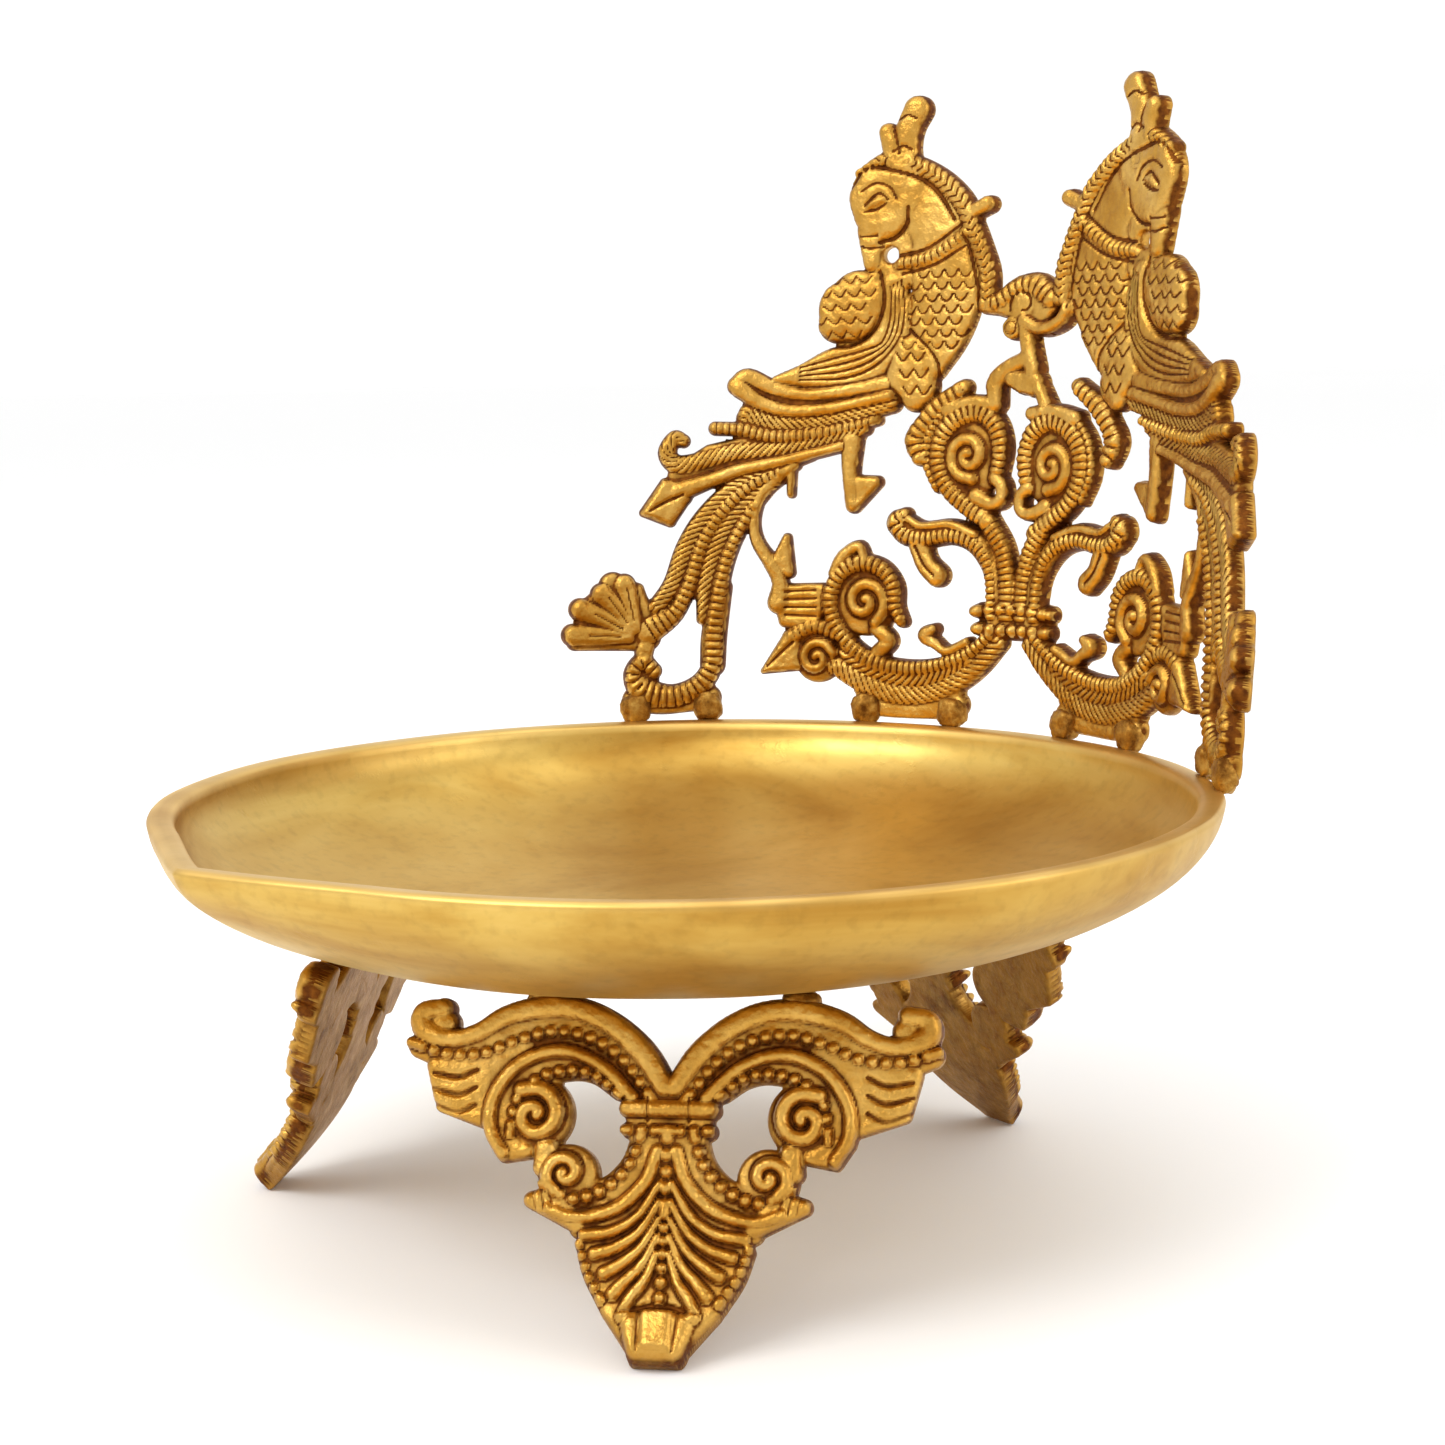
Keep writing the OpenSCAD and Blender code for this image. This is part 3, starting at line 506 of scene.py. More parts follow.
    # long wing feathers that sweep out below the pad
    bar([(32.3, 93, 3.2), (31.2, 87, 3.8), (32.5, 81, 4.5), (37, 77, 4.8), (44, 75.8, 4.6),
         (51, 74.2, 2.8), (57.5, 73.4, 1)], 0.62)
    for k in range(4):
        f = k / 3
        groove([(29.6 + 2.2 * f, 94 - f, 0.3), (28.8 + 3 * f, 87.5 - f, 0.45),
                (30 + 3.6 * f, 81.5 - 0.5 * f, 0.5), (35 + 3 * f, 76 + 3.2 * f, 0.5),
                (42 + 2 * f, 73.4 + 4.4 * f, 0.45), (52, 73.2 + 2.6 * f, 0.35)], 0.6)
    # thigh with scales, and the clawed foot
    field([(27, 78.5, 4.3), (29.5, 73.5, 3.6), (25.8, 71.5, 4.8), (26.3, 69, 3.2)], 0.75, 3)
    for row in range(3):
        for k in range(2):
            at_x = 25.2 + 3.4 * k - 0.8 * row
            groove([(at_x - 1.6, 78.6 - 3.6 * row, 0.35), (at_x, 76.8 - 3.6 * row, 0.45),
                    (at_x + 1.6, 78.6 - 3.6 * row, 0.35)], 0.45)
    groove([(27.5, 83.5, 0.5), (22.5, 79, 0.5), (20.5, 75.5, 0.5), (21, 71.6, 0.4)], 0.7)
    bar([(14.8, 71, 1.9), (20.3, 67.2, 2.3), (24.3, 63, 2.3), (26, 59.7, 2.6), (24.8, 56.2, 2)],
        0.95, "ribbed", 1.9)


def tail(cast, side):
    bar, groove, field = half_tools(cast, side)

    # smooth bodies of the plumes, then the ribbed edges that lie on them
    field([(78.5, 52.4, 3), (68, 54.5, 3), (57, 56.6, 2.4), (60, 60, 2.2), (72, 57.6, 2)], 0.35, 1.6)
    field([(64, 65, 2.4), (54, 66, 2.4), (36, 67, 2.4), (40, 61, 2), (60, 59, 2)], 0.35)
    field([(58, 52, 2), (70, 46, 2.4), (76, 36, 2.6), (79, 27, 2.4), (74, 28, 2), (68, 40, 2)], 0.35)
    cast.dab(moved([(87.6, 9, 3.4)], side)[0], 0.45)
    bar([(48, 68, 1.6), (56, 69, 1.8), (62, 71.4, 1.6)], 0.35)
    bar([(73.2, 3.6, 2.8), (78, 2.4, 2), (84, 1.8, 1.8), (90, 3.4, 2.8)], 0.35)
    bar([(33, 72, 2), (42, 70.6, 1.6), (51, 70, 1.5), (58, 71.6, 1.8), (63.5, 74, 2.1), (66, 72.2, 2.2)],
        0.7)
    bar([(32, 68, 2.4), (40, 65.6, 2), (49, 64, 2.2), (57, 64, 2.2), (63.5, 66, 2.4)], 0.7, "slant", 1.6,
        skew=1.2)
    bar([(38, 62.6, 1.8), (48, 59.9, 1.8), (58, 58.2, 2), (66, 57.8, 2), (73, 56.2, 2), (79, 55.2, 2.2),
         (81.3, 57.8, 2.1), (79.6, 61, 1.8), (77.8, 60.4, 1.6)], 0.75, "slant", 1.6, skew=-1.2)
    bar([(50, 57, 1.6), (60, 53.4, 2), (68, 49, 2.1), (74, 43, 2.2), (78, 36.5, 2.2), (81, 29, 2),
         (84.5, 24, 2)], 0.72, "slant", 1.6, skew=1.2)
    bar([(57, 52, 1.8), (67, 44, 2.2), (71.6, 36, 2.2), (73.8, 28, 1.8), (74.6, 21, 1.2)], 0.72, "slant",
        1.6, skew=1.2)
    bar([(70, 28, 2.4), (71.8, 18, 2.9), (72.3, 11, 2.9)], 0.6)
    bar([(32, 69.5, 1.5), (40, 67.9, 1.4), (48, 66.6, 1.5), (55, 66.6, 1.6), (61, 68.5, 1.8),
         (65.2, 71.5, 2.2)], 1.0)
    bar([(35, 64.2, 1.2), (43, 62.4, 1.4), (50, 61.3, 1.5), (58, 61, 1.5), (65, 62.6, 1.6),
         (70.8, 63, 1.6)], 1.0, "ribbed", 1.5)
    bar([(43, 58.6, 1.3), (56, 55.6, 1.4), (65, 53.9, 1.6), (72, 51.6, 1.8), (79, 49.2, 2.4)], 1.0)
    bar([(56, 53.4, 1.3), (63.5, 50, 1.5), (70, 44, 1.6), (74.3, 37, 1.7), (77, 29, 1.8), (80.5, 22.5, 2.2),
         (86.5, 18.6, 3.2)], 1.0, "ribbed", 1.6)
    bar([(62, 46.5, 1.4), (66, 40, 1.6), (68.8, 33.5, 1.8), (70.6, 26, 2), (71.8, 18, 2.2), (72.3, 11, 2.4),
         (75.5, 6.3, 2.5), (81.5, 4.1, 2.6), (87.8, 5.4, 3.1), (90.4, 9, 2), (88, 12, 2), (85.4, 9.8, 1.8)],
        1.0, "ribbed", 1.7)
    # leaf at the end of the upper plume
    field([(79, 48.8, 3.2), (82, 51.2, 1.2), (86.8, 44.8, 1), (81, 42.8, 1.4)], 0.8, 2.4)
    groove([(78, 48.6, 0.5), (82, 47, 0.5), (85.4, 45.2, 0.4)], 0.6)
    # blunt leaf of four lobes that spread from its root
    field([(87, 17.5, 3.4), (94, 28.8, 3.2), (88.5, 28, 1.4)], 0.45, 2)
    field([(88, 17.2, 3), (101, 23, 2.3), (97, 26.5, 2), (103, 16.6, 1.8)], 0.45, 2)
    for turned in (4, 30, 55, 79):
        a = math.radians(turned)
        long = 14.4 if turned < 40 else 13.2
        bar([(89 + 2 * math.cos(a), 17.4 + 2 * math.sin(a), 1.6),
             (89 + 8 * math.cos(a), 17.4 + 8 * math.sin(a), 2.3),
             (89 + long * math.cos(a), 17.4 + (long - 1.4) * math.sin(a), 2.6)], 0.9)
        groove([(89 + 4 * math.cos(a), 17.4 + 4 * math.sin(a), 0.35),
                (89 + 11 * math.cos(a), 17.4 + 11 * math.sin(a), 0.4)], 0.4)
    bar([(87.2, 15.4, 2.2), (88, 12, 2)], 0.7)
    # thorned inner branch, down to a plain round boss
    bar([(53.5, 54.8, 1.5), (58, 51.5, 1.5), (61.2, 47.5, 1.4), (62.5, 42.5, 1.4), (61.8, 38, 1.6),
         (59, 33.5, 1.8), (56.8, 29, 2), (57.2, 24.6, 2.7)], 0.75)
    bar([(54.2, 54, 1.2), (54.3, 48.4, 1)], 0.6)
    field([(57.5, 33, 1.8), (54.8, 31.2, 1.4), (55.3, 38.8, 1.1)], 0.6)
    # hooked drop under the plumes
    bar([(40.7, 60, 2.6), (40.9, 53, 2), (40.3, 46, 1.8)], 0.75)
    field([(40.3, 45.8, 1.8), (35.1, 50.9, 1.5), (40, 51, 1.6)], 0.6)


def lower_scroll(cast, side):
    bar, groove, field = half_tools(cast, side)

    # the broad leaf that lies along the rim
    bar([(4, 17.2, 1.8), (10, 11.5, 2.3), (17, 7.3, 2.6), (25, 5.2, 2.7), (33, 5.8, 2.5), (40, 8.5, 2.5),
         (45, 11.5, 2)], 0.62, "slant", 1.7, skew=1.0)
    bar([(12, 13.4, 2), (20, 9.6, 2.5), (28, 8.8, 2.5), (36, 11, 2.5), (41, 14, 2.5)], 0.7, "slant", 1.7,
        skew=-1.0)
    # foot that the braze runs up to
    bar([(14.6, 3.4, 2.6), (20, 2.2, 2.4), (30, 1.6, 2.2), (37.4, 2.8, 2.6)], 0.35)
    field([(15, 6.5, 2), (17, 4, 2), (36, 4, 2), (38, 6, 2), (26, 5, 2)], 0.3)
    # big spiral: a ribbed ring with a smooth coil inside
    bar([(37, 25, 7.6), (37.1, 25, 7.6)], 0.35)
    bar([(5.5, 19.3, 1.4), (12, 14.4, 1.6), (20, 11.6, 1.7), (28, 10.8, 1.9), (35, 12, 2), (40.5, 15.5, 2),
         (44.3, 20.5, 2), (45.2, 26, 2), (43, 31, 2), (38.5, 33.4, 2), (33.5, 32.3, 2), (30.4, 28.5, 2),
         (29.9, 24, 1.8), (28.4, 20.8, 1.5)], 1.0, "ribbed", 1.5)
    bar(scroll((37, 25), 5.2, 0.6, -120, -1.4, 1.5, 1.3), 1.0)
    # small spiral and its leaf
    cast.dab(moved([(48.2, 12.4, 5.4)], side)[0], 0.4)
    bar(scroll((48.2, 12.4), 4, 0.6, 160, -1.3, 1.3, 1.1), 1.0)
    bar([(43.5, 18, 2), (49, 19.3, 1.8), (54.6, 16.8, 2)], 0.8, "ribbed", 1.5)
    field([(54.4, 16.6, 2.2), (60.8, 9.4, 0.7), (53, 11, 1.6)], 0.7, 2)
    groove([(53.6, 16, 0.5), (56.6, 13.4, 0.5), (59.6, 10.6, 0.4)], 0.6)
    field([(56.6, 26.6, 2.2), (47, 26.6, 2.4), (50, 20.6, 2.2), (55.8, 20.6, 1.6)], 0.45, 1.6)
    for k in range(4):
        groove([(48.6, 27.4 - 1.9 * k, 0.4), (55.6, 27 - 1.7 * k, 0.4)], 0.45)
    # curls inside the scroll
    bar([(34, 19, 2), (31.5, 16.5, 2), (34, 14, 2)], 0.7)
    bar([(44.5, 31, 1.4), (42.5, 34.6, 1.6), (38.8, 37, 1.4), (37, 34, 1.2)], 0.8)
    bar([(12, 17, 1.2), (17, 14.9, 1.3), (20, 16.4, 1.5), (22.5, 18, 2), (20.6, 19.4, 1.4)], 0.85)


def stems(cast, side):
    bar, groove = half_tools(cast, side)[:2]

    bar([(2, 22, 2.1), (2.1, 30, 2.2), (3.8, 37, 2.3), (7.6, 42.6, 2.3)], 0.85, "ribbed", 1.4)
    bar([(4.8, 22, 2.4), (5.6, 30, 2.4), (8, 35, 2.4), (11.8, 38.8, 2.7), (17, 40.4, 2.9), (23, 39.6, 2.9),
         (27.5, 39.8, 2.8), (29.4, 42, 3.2)], 0.6)
    bar([(5.8, 22, 1.5), (6.2, 30, 1.5), (7.9, 35, 1.6), (11.6, 38.4, 1.7), (17, 39.6, 1.7), (23, 38.8, 1.7),
         (27.5, 39.4, 1.8), (29.8, 42.2, 2.2), (28.2, 43.8, 1.8)], 1.0, "ribbed", 1.4)
    bar([(10.6, 40, 1.1), (17, 42, 1.1), (23.6, 41.6, 1.1), (26.8, 43, 1)], 0.85)
    bar([(24.6, 37.6, 2.7), (22.8, 33.5, 2.6), (20.2, 31, 2.7)], 0.75)
    groove([(25, 37, 0.5), (22.8, 33.2, 0.5), (20.4, 31, 0.4)], 0.6)


def upper_spiral(cast, side):
    shift = (-3.5, -2) if side > 0 else (0, 0)

    bar = half_tools(cast, side, shift)[0]

    cast.bar(moved([(7.6, 42.6, 2), (8.6, 43.6, 2)], side), 0.8)
    bar([(7.6, 42.6, 1.9), (13, 45.8, 2.2), (17.8, 49.6, 2.2), (20.3, 55, 2.2), (19.6, 60.5, 2.2),
         (16, 64.6, 2.4), (11, 66, 2.4), (6.8, 63.5, 2.3), (4.9, 58.5, 2.1), (5.6, 53, 1.9)],
        0.95, "ribbed", 1.5)
    bar([(20.6, 49.4, 1), (23.2, 55, 1.1), (22.4, 61.4, 1.1), (18.4, 66.6, 1)], 0.7, "ribbed", 1.5)
    bar([(12.6, 56, 8.4), (12.7, 56, 8.4)], 0.35)
    bar(scroll((12.6, 56.6), 5, 0.6, -100, 1.5, 1.6, 1.3), 1.0)
    bar([(10.8, 48, 2), (7, 46.6, 1.7), (4.4, 47.4, 1.7), (4.2, 50.2, 1.7), (6, 52, 1.8)], 0.8)
    bar([(18, 66.4, 2), (12.5, 68, 1.6), (6.4, 67.4, 1.8)], 0.85)


def middle_scrolls(cast):
    cast.field([(-1, 87.6, 2.6), (4.6, 86.6, 2.8), (2, 84.6, 1.6)], 0.4)
    cast.field([(-6, 88.4, 2.8), (-1, 90.8, 3.6), (5, 89, 4), (4, 86, 3)], 0.55, 2.2)
    cast.bar([(-10, 88.2, 2), (-6, 88.6, 2.7), (-2, 90.6, 3.3), (2.5, 91.2, 3.4), (6.5, 88.8, 2.6)], 0.6)
    cast.bar([(-8, 88.6, 1.6), (-6, 89, 2), (-2, 91.2, 2.2), (2.5, 91.8, 2.3), (6.5, 89, 2.2)], 0.95,
             "ribbed", 1.7)
    cast.bar([(0.2, 84.6, 1.6), (4.5, 82.8, 1.6), (9.4, 84.2, 1.6), (11.6, 87, 1.8)], 0.95)
    cast.dab((-0.5, 87.8, 4.8), 0.7)
    cast.groove(scroll((0, 88), 3.4, 1.2, 200, -0.8, 0.45, 0.4), 0.5)
    cast.dab((-2.9, 83.2, 2.6), 0.95)
    cast.groove(scroll((-2.9, 83.2), 1.4, 1.4, 0, 1, 0.4, 0.4), 0.5)
    cast.bar([(0.4, 83.4, 2), (1.4, 78.6, 2.2), (2.6, 74.5, 2.2)], 0.8)
    cast.bar([(1.4, 77, 2), (-3.6, 75, 2), (-6.8, 71.8, 2.4), (-6.4, 67.4, 1.8)], 0.8)
    cast.field([(2.8, 71.6, 3), (0, 71, 1.8), (-2.6, 72.6, 2)], 0.7)
    cast.bar([(4.5, 70.5, 1.8), (6.4, 67.4, 1.8)], 0.8)
    # the beaded double collar that gathers the stems
    cast.bar([(-9.2, 23.8, 1.9), (0, 24.4, 2.1), (9.2, 23.8, 1.9)], 1.0, "beaded", 2.9)
    cast.bar([(-8.8, 20.0, 1.9), (0, 20.0, 2.2), (8.8, 20.0, 1.9)], 1.0, "beaded", 2.9)


def cast_brass(name):
    """Cast brass, brushed bright on the high work, with brown patina left in the hollows."""
    material = bpy.data.materials.new(name)
    add = shade_nodes(material)
    place = add("ShaderNodeTexCoord").outputs["Object"]
    recess = add("ShaderNodeAttribute", attribute_name="recess").outputs["Fac"]
    blotch = add("ShaderNodeTexNoise", {"Vector": place, "Scale": 75, "Detail": 6,
                                        "Roughness": 0.65}).outputs["Fac"]
    fine = add("ShaderNodeTexNoise", {"Vector": place, "Scale": 650, "Detail": 3}).outputs["Fac"]
    tooled = add("ShaderNodeTexNoise", {"Vector": place, "Scale": 240, "Detail": 5,
                                        "Roughness": 0.7}).outputs["Fac"]
    wander = add("ShaderNodeMath", {0: blotch, 1: tooled}, operation="ADD").outputs[0]
    wander = add("ShaderNodeMath", {0: wander, 1: 1.0}, operation="SUBTRACT").outputs[0]
    uneven = add("ShaderNodeMath", {0: wander, 1: 0.65, 2: recess}, operation="MULTIPLY_ADD").outputs[0]
    dirt = ramp(add, uneven, [(0.05, grey(0)), (0.22, grey(0.32)), (0.52, grey(1))])
    gold = ramp(add, blotch, [(0.30, (0.40, 0.185, 0.026)), (0.46, (0.50, 0.262, 0.046)),
                              (0.62, (0.61, 0.355, 0.082)), (0.80, (0.73, 0.47, 0.14))])
    brown = ramp(add, fine, [(0.30, (0.070, 0.016, 0.001)), (0.75, (0.22, 0.068, 0.005))])
    colour = add("ShaderNodeMix", {0: dirt, 6: gold, 7: brown}, data_type="RGBA")
    rough = ramp(add, uneven, [(0.0, grey(0.33)), (0.15, grey(0.42)), (0.45, grey(0.56))])
    metal = ramp(add, uneven, [(0.30, grey(1)), (0.60, grey(0.88))])
    bump = add("ShaderNodeBump", {"Height": tooled, "Strength": 0.55, "Distance": 0.0009})
    grain = add("ShaderNodeBump", {"Height": fine, "Strength": 0.35, "Distance": 0.0003,
                                   "Normal": bump.outputs[0]})
    shader = add("ShaderNodeBsdfPrincipled", {"Base Color": colour.outputs[2], "Metallic": metal,
                                              "Roughness": rough, "Normal": grain.outputs[0]})
    add("ShaderNodeOutputMaterial", {"Surface": shader.outputs[0]})
    return material


plate_cast = Casting(-110, 110, -2, 137, 0.4)
for side in (-1, 1):
    tail(plate_cast, side)
    peacock(plate_cast, side)
    stems(plate_cast, side)
    lower_scroll(plate_cast, side)
    upper_spiral(plate_cast, side)
middle_scrolls(plate_cast)
for side in (-1, 1):
    plate_cast.hole((side * 32.2, 99.6, 1.7))
flat_points, plate_faces, plate_recess = casting_mesh(
    plate_cast, low_t=2.6, high_t=4.75, edge_round=1.0, seed=5, dirty=1.45, back_dirt=0.16)
turned = plate_turn + math.pi / 2 - flat_points[:, 0] * MM / plate_r
out = plate_r + (flat_points[:, 1] * math.sin(plate_lean) - flat_points[:, 2] * math.cos(plate_lean)) * MM
up = (flat_points[:, 1] * math.cos(plate_lean) + flat_points[:, 2] * math.sin(plate_lean)) * MM
plate_points = np.column_stack([out * np.cos(turned), out * np.sin(turned) + axis_y,
                                rim_z + plate_gap + np.maximum(up, 0)])
aged_brass = cast_brass("aged_brass")
plate = mesh_object("peacock_plate", plate_points, [plate_faces], aged_brass, {"recess": plate_recess})
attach(plate, "root")
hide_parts("back_plate")

# ---- Legs ----
# Three legs cast from one mould: two beaded arches that end in volutes, drawn in at
# a double collar, over a fan of ribs and a squared toe. Each is brazed under the bowl.

leg_drawn = 55
leg_h = 52.4
leg_widened = 1.02
leg_r = 55
leg_lean = 0.37
toe_kick = 6.5
kick_h = 20
leg_spread = 52.5


def leg_half(cast, side):
    bar, groove, field = half_tools(cast, side)

    # side leaf and its tips
    field([(31, 44.6, 2), (38.5, 43.8, 1.6), (37, 37.6, 1.4), (30, 35.6, 1.8)], 0.4, 1.6)
    field([(28, 33, 1.8), (26.6, 29.4, 0.9), (22.6, 30.6, 1.4)], 0.45, 1.5)
    field([(18, 23.4, 2), (21.6, 22.8, 1.5), (14, 19, 1.6)], 0.6, 1.5)
    for k in range(3):
        groove([(18.6 + 1.4 * k, 24.4, 0.35), (18 + 1.4 * k, 21.6, 0.35)], 0.4)
    for k in range(3):
        groove([(31.5, 43.2 - 2.8 * k, 0.5), (34.5, 42 - 2.8 * k, 0.6), (38.6, 42.6 - 2.4 * k, 0.5)], 0.7)
    # outer rib of the arch, ending in the top volute
    bar([(0.8, 41, 1.9), (4.5, 46.4, 2.1), (9.5, 50.7, 2.1), (15, 53.1, 2.1), (21, 53.4, 2.1),
         (27, 51.9, 1.9), (31.5, 49.2, 1.7), (36, 48.1, 1.7), (40.4, 49.6, 2.2), (40.8, 52.2, 1.9),
         (37.6, 53, 1.8)], 0.85)
    bar([(37.4, 50.6, 2.4), (37.5, 50.6, 2.4)], 0.7)
    bar([(2.4, 41, 2), (8, 47.6, 3), (14, 51, 3.2), (21, 51.4, 3.4), (29, 48.6, 3), (36, 46.4, 2.4)], 0.45)
    bar([(2, 34, 2), (4, 29, 2.4), (8, 24.6, 2.2)], 0.45)
    bar([(24, 47, 2), (29, 44.5, 2.6), (31, 40, 2.2)], 0.45)
    # beaded bands of the arch, with a smooth rib between them
    bar([(3.4, 40, 2), (8, 45.6, 2.4), (13, 48.6, 2.6), (19, 49.6, 2.8), (25, 48, 2.8), (30, 46, 2.6),
         (36, 45.6, 2.6), (41.2, 47, 2.2)], 0.8, "beaded", 2.2)
    bar([(6, 39, 1.8), (10, 42.8, 1.8), (15, 45, 2), (21, 44.4, 2.6), (25.6, 41, 2.8), (27, 36, 2.8),
         (26, 32, 2.4)], 0.35)
    bar([(6, 39.4, 1.2), (10, 43.4, 1.2), (15, 46, 1.2), (20, 46.2, 1.3), (25, 43.8, 1.3), (28.4, 39, 1.3),
         (28.8, 34, 1.3), (26.6, 30, 1.3)], 0.9)
    bar([(8.4, 40, 1.2), (12, 42.6, 1.4), (16, 43.4, 1.5), (21, 42.2, 1.6), (24.6, 38.6, 1.7),
         (25.4, 34, 1.6)], 0.85, "beaded", 2.1)
    # side spiral
    cast.dab(moved([(21.8, 36.4, 6.2)], side)[0], 0.35)
    bar(scroll((21.6, 36.2), 4.5, 0.5, 60, 1.35, 1.5, 1.2), 1.0)
    # waist with its double beaded collar
    field([(0, 39.6, 2), (5.6, 37.4, 1.8), (5, 33.6, 1.8), (0, 30, 2)], 0.45, 1.4)
    bar([(0, 37.6, 1.7), (6.6, 37.6, 1.6)], 1.0)
    groove([(3.3, 39.4, 0.35), (3.3, 35.8, 0.35)], 0.6)
    bar([(0, 34.2, 1.6), (6.2, 34.2, 1.5)], 1.0, "beaded", 2.1)
    # lower beaded strand and its spiral
    bar([(4.4, 33, 1.8), (6, 28.6, 1.8), (9.6, 25, 1.9), (15, 23.2, 2), (18.6, 24.8, 2)], 0.85, "beaded",
        2.2)
    bar([(1.5, 31, 1.3), (3.4, 26, 1.3), (8, 21.8, 1.3), (14, 20.2, 1.3), (18.6, 21.6, 1.3)], 0.85)
    cast.dab(moved([(16, 26.8, 5)], side)[0], 0.35)
    bar(scroll((16.2, 27.2), 3.3, 0.4, -60, 1.2, 1.3, 1.1), 1.0)
    bar([(19.6, 31, 2), (20, 28, 1.8)], 0.7)
    # fan of ribs
    field([(0, 28, 2.4), (4, 25, 2), (13.6, 18.6, 2)], 0.3, 1.4)
    field([(0, 24, 2.6), (12.6, 17.2, 1.6), (11, 11.6, 1.8), (8, 7, 1.8), (3, 2.6, 2.4), (0, 2.6, 2.6)],
          0.3, 1.4)
    for k in range(5):
        f = k / 4
        bar([(0.9, 26 - 11.5 * f, 0.7), (4.2 - 1.6 * f, 20.8 - 10.6 * f, 0.95),
             (8.2 - 3.6 * f, 18 - 10.4 * f, 1.1), (12.6 - 7 * f, 17.2 - 12 * f, 1.25)], 0.85)
    bar([(13.4, 15.6, 0.9), (12, 11.4, 0.9), (9.4, 7.4, 0.9)], 0.7, "beaded", 1.8)


leg_cast = Casting(-45, 45, -2, 58, 0.3)
for side in (-1, 1):
    leg_half(leg_cast, side)
leg_cast.bar([(0, 33, 2), (0, 22.4, 1.6)], 0.9, "beaded", 2.6)
leg_cast.bar([(0, 21, 1.2), (0, 8, 1.2)], 0.95, "beaded", 2.2)
leg_cast.field([(-4.2, 4.2, 1.8), (4.2, 4.2, 1.8), (3, 1.2, 1.8), (-3, 1.2, 1.8)], 0.8, 1.6)
leg_cast.field([(-1.6, 5, 1.2), (1.6, 5, 1.2), (1.4, 1.4, 1.2), (-1.4, 1.4, 1.2)], 1.0, 0.9)
leg_cast.groove([(-6, 5.6, 0.4), (0, 7, 0.5), (6, 5.6, 0.4)], 0.7)
leg_cast.groove([(-3.2, 5.8, 0.35), (-2.8, 0.4, 0.35)], 0.5)
leg_cast.groove([(3.2, 5.8, 0.35), (2.8, 0.4, 0.35)], 0.5)
flat_points, leg_faces, leg_recess = casting_mesh(
    leg_cast, low_t=3.4, high_t=6.2, edge_round=0.9, seed=8, dirty=0.8, back_dirt=0.26)
tall = np.maximum(flat_points[:, 1] * leg_h / leg_drawn, -1)
kick = np.maximum(0, 1 - tall / kick_h)
reach = leg_r + leg_lean * (leg_h - tall) + toe_kick * kick ** 2
slope = -leg_lean - toe_kick * 2 * kick / kick_h
steep = np.hypot(slope, 1)
leg_body = np.column_stack([
    flat_points[:, 0] * leg_widened,
    reach + flat_points[:, 2] / steep,
    np.maximum(tall - flat_points[:, 2] * slope / steep, 0),
]) * MM


def leg_place(around, twist):
    """Where a leg, or what joins it to the bowl, stands round the bowl with its twist."""
    to_leg = Matrix.Translation((0, leg_r * MM, 0))
    twisted = to_leg @ Matrix.Rotation(math.radians(twist), 4, "Z") @ to_leg.inverted()
    return Matrix.Translation((0, axis_y, 0)) @ Matrix.Rotation(math.radians(around), 4, "Z") @ twisted


def placed(points, matrix):
    m = np.array(matrix)
    return np.asarray(points) @ m[:3, :3].T + m[:3, 3]


leg_places = {
    "right": leg_place(leg_spread - 180, -10),
    "left": leg_place(180 - leg_spread, 6),
    "back": leg_place(0, -5),
}
for name, matrix in leg_places.items():
    leg = mesh_object("acanthus_leg_" + name, placed(leg_body, matrix), [leg_faces[:, ::-1]], aged_brass,
                      {"recess": leg_recess})
    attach(leg, "root")
    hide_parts("leg_" + name)

# ---- Braze beads ----
# Lumps of braze run between the rim and the foot of the plate, and between the legs'
# top ribs and the underside of the bowl. They are left rough, brown with gold tops.


def rough_braze(name):
    material = bpy.data.materials.new(name)
    add = shade_nodes(material)
    place = add("ShaderNodeTexCoord").outputs["Object"]
    blotch = add("ShaderNodeTexNoise", {"Vector": place, "Scale": 260, "Detail": 5,
                                        "Roughness": 0.7}).outputs["Fac"]
    colour = ramp(add, blotch, [(0.34, (0.13, 0.045, 0.004)), (0.50, (0.34, 0.160, 0.024)),
                                (0.68, (0.56, 0.325, 0.070))])
    rough = ramp(add, blotch, [(0.35, grey(0.62)), (0.7, grey(0.38))])
    bump = add("ShaderNodeBump", {"Height": blotch, "Strength": 0.5, "Distance": 0.0007})
    shader = add("ShaderNodeBsdfPrincipled", {"Base Color": colour, "Metallic": 0.9, "Roughness": rough,
                                              "Normal": bump.outputs[0]})
    add("ShaderNodeOutputMaterial", {"Surface": shader.outputs[0]})
    return material


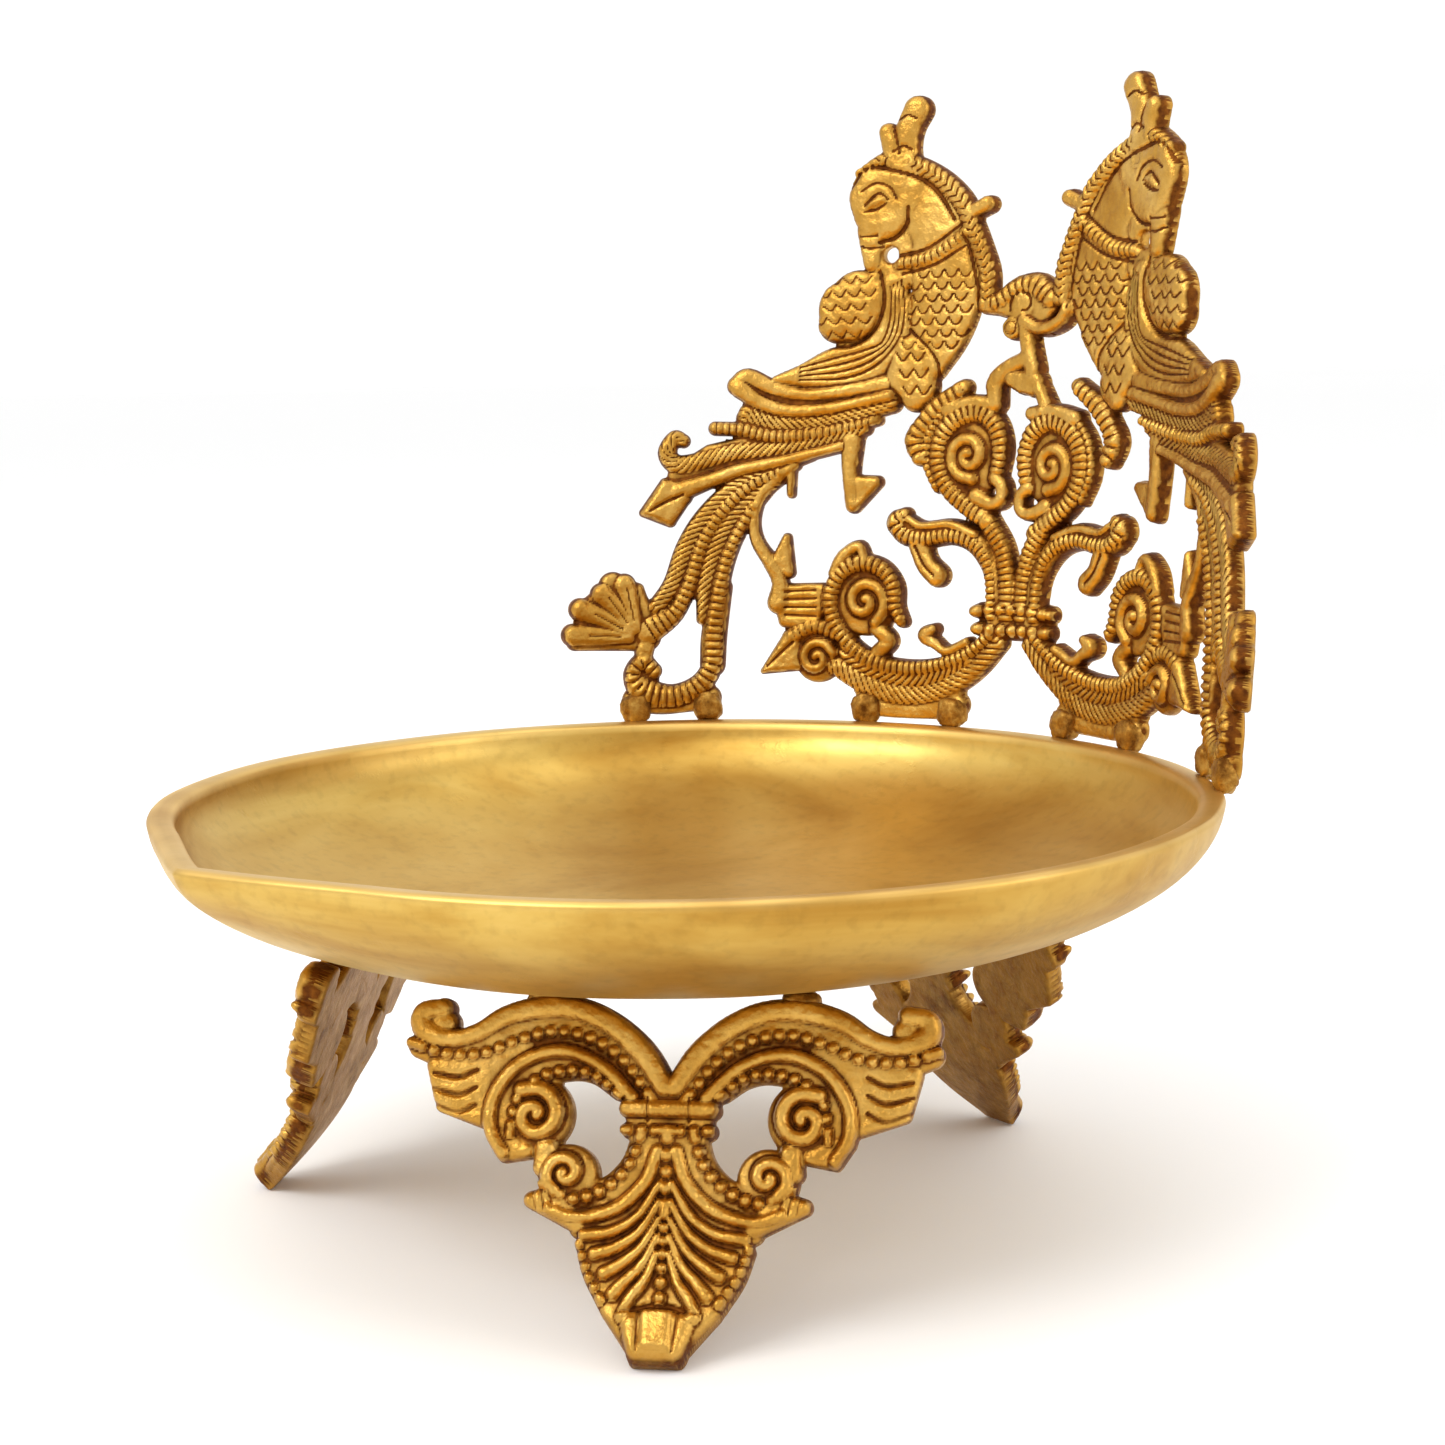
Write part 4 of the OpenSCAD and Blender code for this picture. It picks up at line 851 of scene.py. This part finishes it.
def lump(name, centre, half, turn_by, seed):
    """A rough ball, stretched to half its sizes along three ways, turned about the upright."""
    around, rings = 40, 24
    a, b = np.meshgrid(np.arange(around) * 2 * np.pi / around, np.linspace(-np.pi / 2, np.pi / 2, rings))
    ball = np.stack([np.cos(b) * np.cos(a), np.cos(b) * np.sin(a), np.sin(b)], -1).reshape(-1, 3)
    swell = [1 + 0.16 * noise.noise(Vector(p) * 1.7 + Vector((seed, 0, 0)))
             + 0.06 * noise.noise(Vector(p) * 5 + Vector((0, seed, 0))) - 0.12 for p in ball]
    body = np.sign(ball) * np.abs(ball) ** 0.8 * np.array(swell)[:, None] * half
    matrix = Matrix.Translation(centre) @ Matrix.Rotation(turn_by, 4, "Z")
    ring, spoke = np.meshgrid(np.arange(rings - 1), np.arange(around), indexing="ij")
    beside = (spoke + 1) % around
    here, above = ring * around, (ring + 1) * around
    quads = np.stack([here + spoke, here + beside, above + beside, above + spoke], -1)
    return mesh_object(name, placed(body, matrix), [quads.reshape(-1, 4)], braze_metal)


braze_metal = rough_braze("rough_braze")
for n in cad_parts:
    if n.startswith("braze_"):
        low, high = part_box(n)
        middle = (low + high) / 2
        half_height = (high.z - low.z) / 2
        spin = math.atan2(middle.y - axis_y, middle.x)
        if n.startswith("braze_plate"):
            half = np.array([0.0027, 0.0037, half_height * 1.18])
        else:
            half = np.array([0.0030, 0.0036, half_height * 1.05])
        bead = lump("bead_" + n[6:], middle, half, spin, 3.7 * (1 + len(n) + int(n[-1])))
        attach(bead, "root")
        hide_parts(n)

# ---- Floor and lights ----
# A pale seamless table with broad soft lamps: one overhead and to the left, a
# weaker one from the right, and a bright surround for the metal to mirror.


def studio_panel(name, place, target, width, height, power):
    data = bpy.data.lights.new(name, "AREA")
    data.shape = "RECTANGLE"
    data.size, data.size_y, data.energy = width, height, power
    panel = bpy.data.objects.new(name, data)
    bpy.context.collection.objects.link(panel)
    panel.location = place
    panel.rotation_euler = (Vector(target) - Vector(place)).to_track_quat("-Z", "Y").to_euler()


def around_lamp(turned_by, away, height):
    """A place round the lamp, turned from where the camera stands."""
    a = round_by + math.radians(turned_by)
    return (away * math.sin(a), -away * math.cos(a), height)


floor_mesh = bpy.data.meshes.new("floor")
floor_half = 30
floor_mesh.from_pydata([(-floor_half, -floor_half, 0), (floor_half, -floor_half, 0),
                        (floor_half, floor_half, 0), (-floor_half, floor_half, 0)], [], [(0, 1, 2, 3)])
floor = bpy.data.objects.new("floor", floor_mesh)
bpy.context.collection.objects.link(floor)
floor.location.z = -0.0002
paper = bpy.data.materials.new("pale_paper")
add = shade_nodes(paper)
sheet_noise = add("ShaderNodeTexNoise", {"Scale": 3, "Detail": 2}).outputs["Fac"]
sheet_colour = ramp(add, sheet_noise, [(0.3, (0.95, 0.95, 0.948)), (0.7, (0.97, 0.97, 0.968))])
sheet_shader = add("ShaderNodeBsdfPrincipled", {"Base Color": sheet_colour, "Roughness": 0.85})
add("ShaderNodeOutputMaterial", {"Surface": sheet_shader.outputs[0]})
floor_mesh.materials.append(paper)

middle = (0, 0, 0.1)
studio_panel("key_panel", around_lamp(-50, 1.1, 1.1), middle, 0.9, 0.7, 10)
studio_panel("fill_panel", around_lamp(65, 1.2, 0.6), middle, 0.7, 0.9, 4)
studio_panel("top_panel", (0, 0, 1.5), middle, 1.2, 1.2, 4)
world = bpy.data.worlds.new("surround")
world.use_nodes = True
world.node_tree.nodes["Background"].inputs[0].default_value = (1, 1, 1, 1)
world.node_tree.nodes["Background"].inputs[1].default_value = 1.04
bpy.context.scene.world = world
bpy.context.scene.view_settings.view_transform = "Standard"
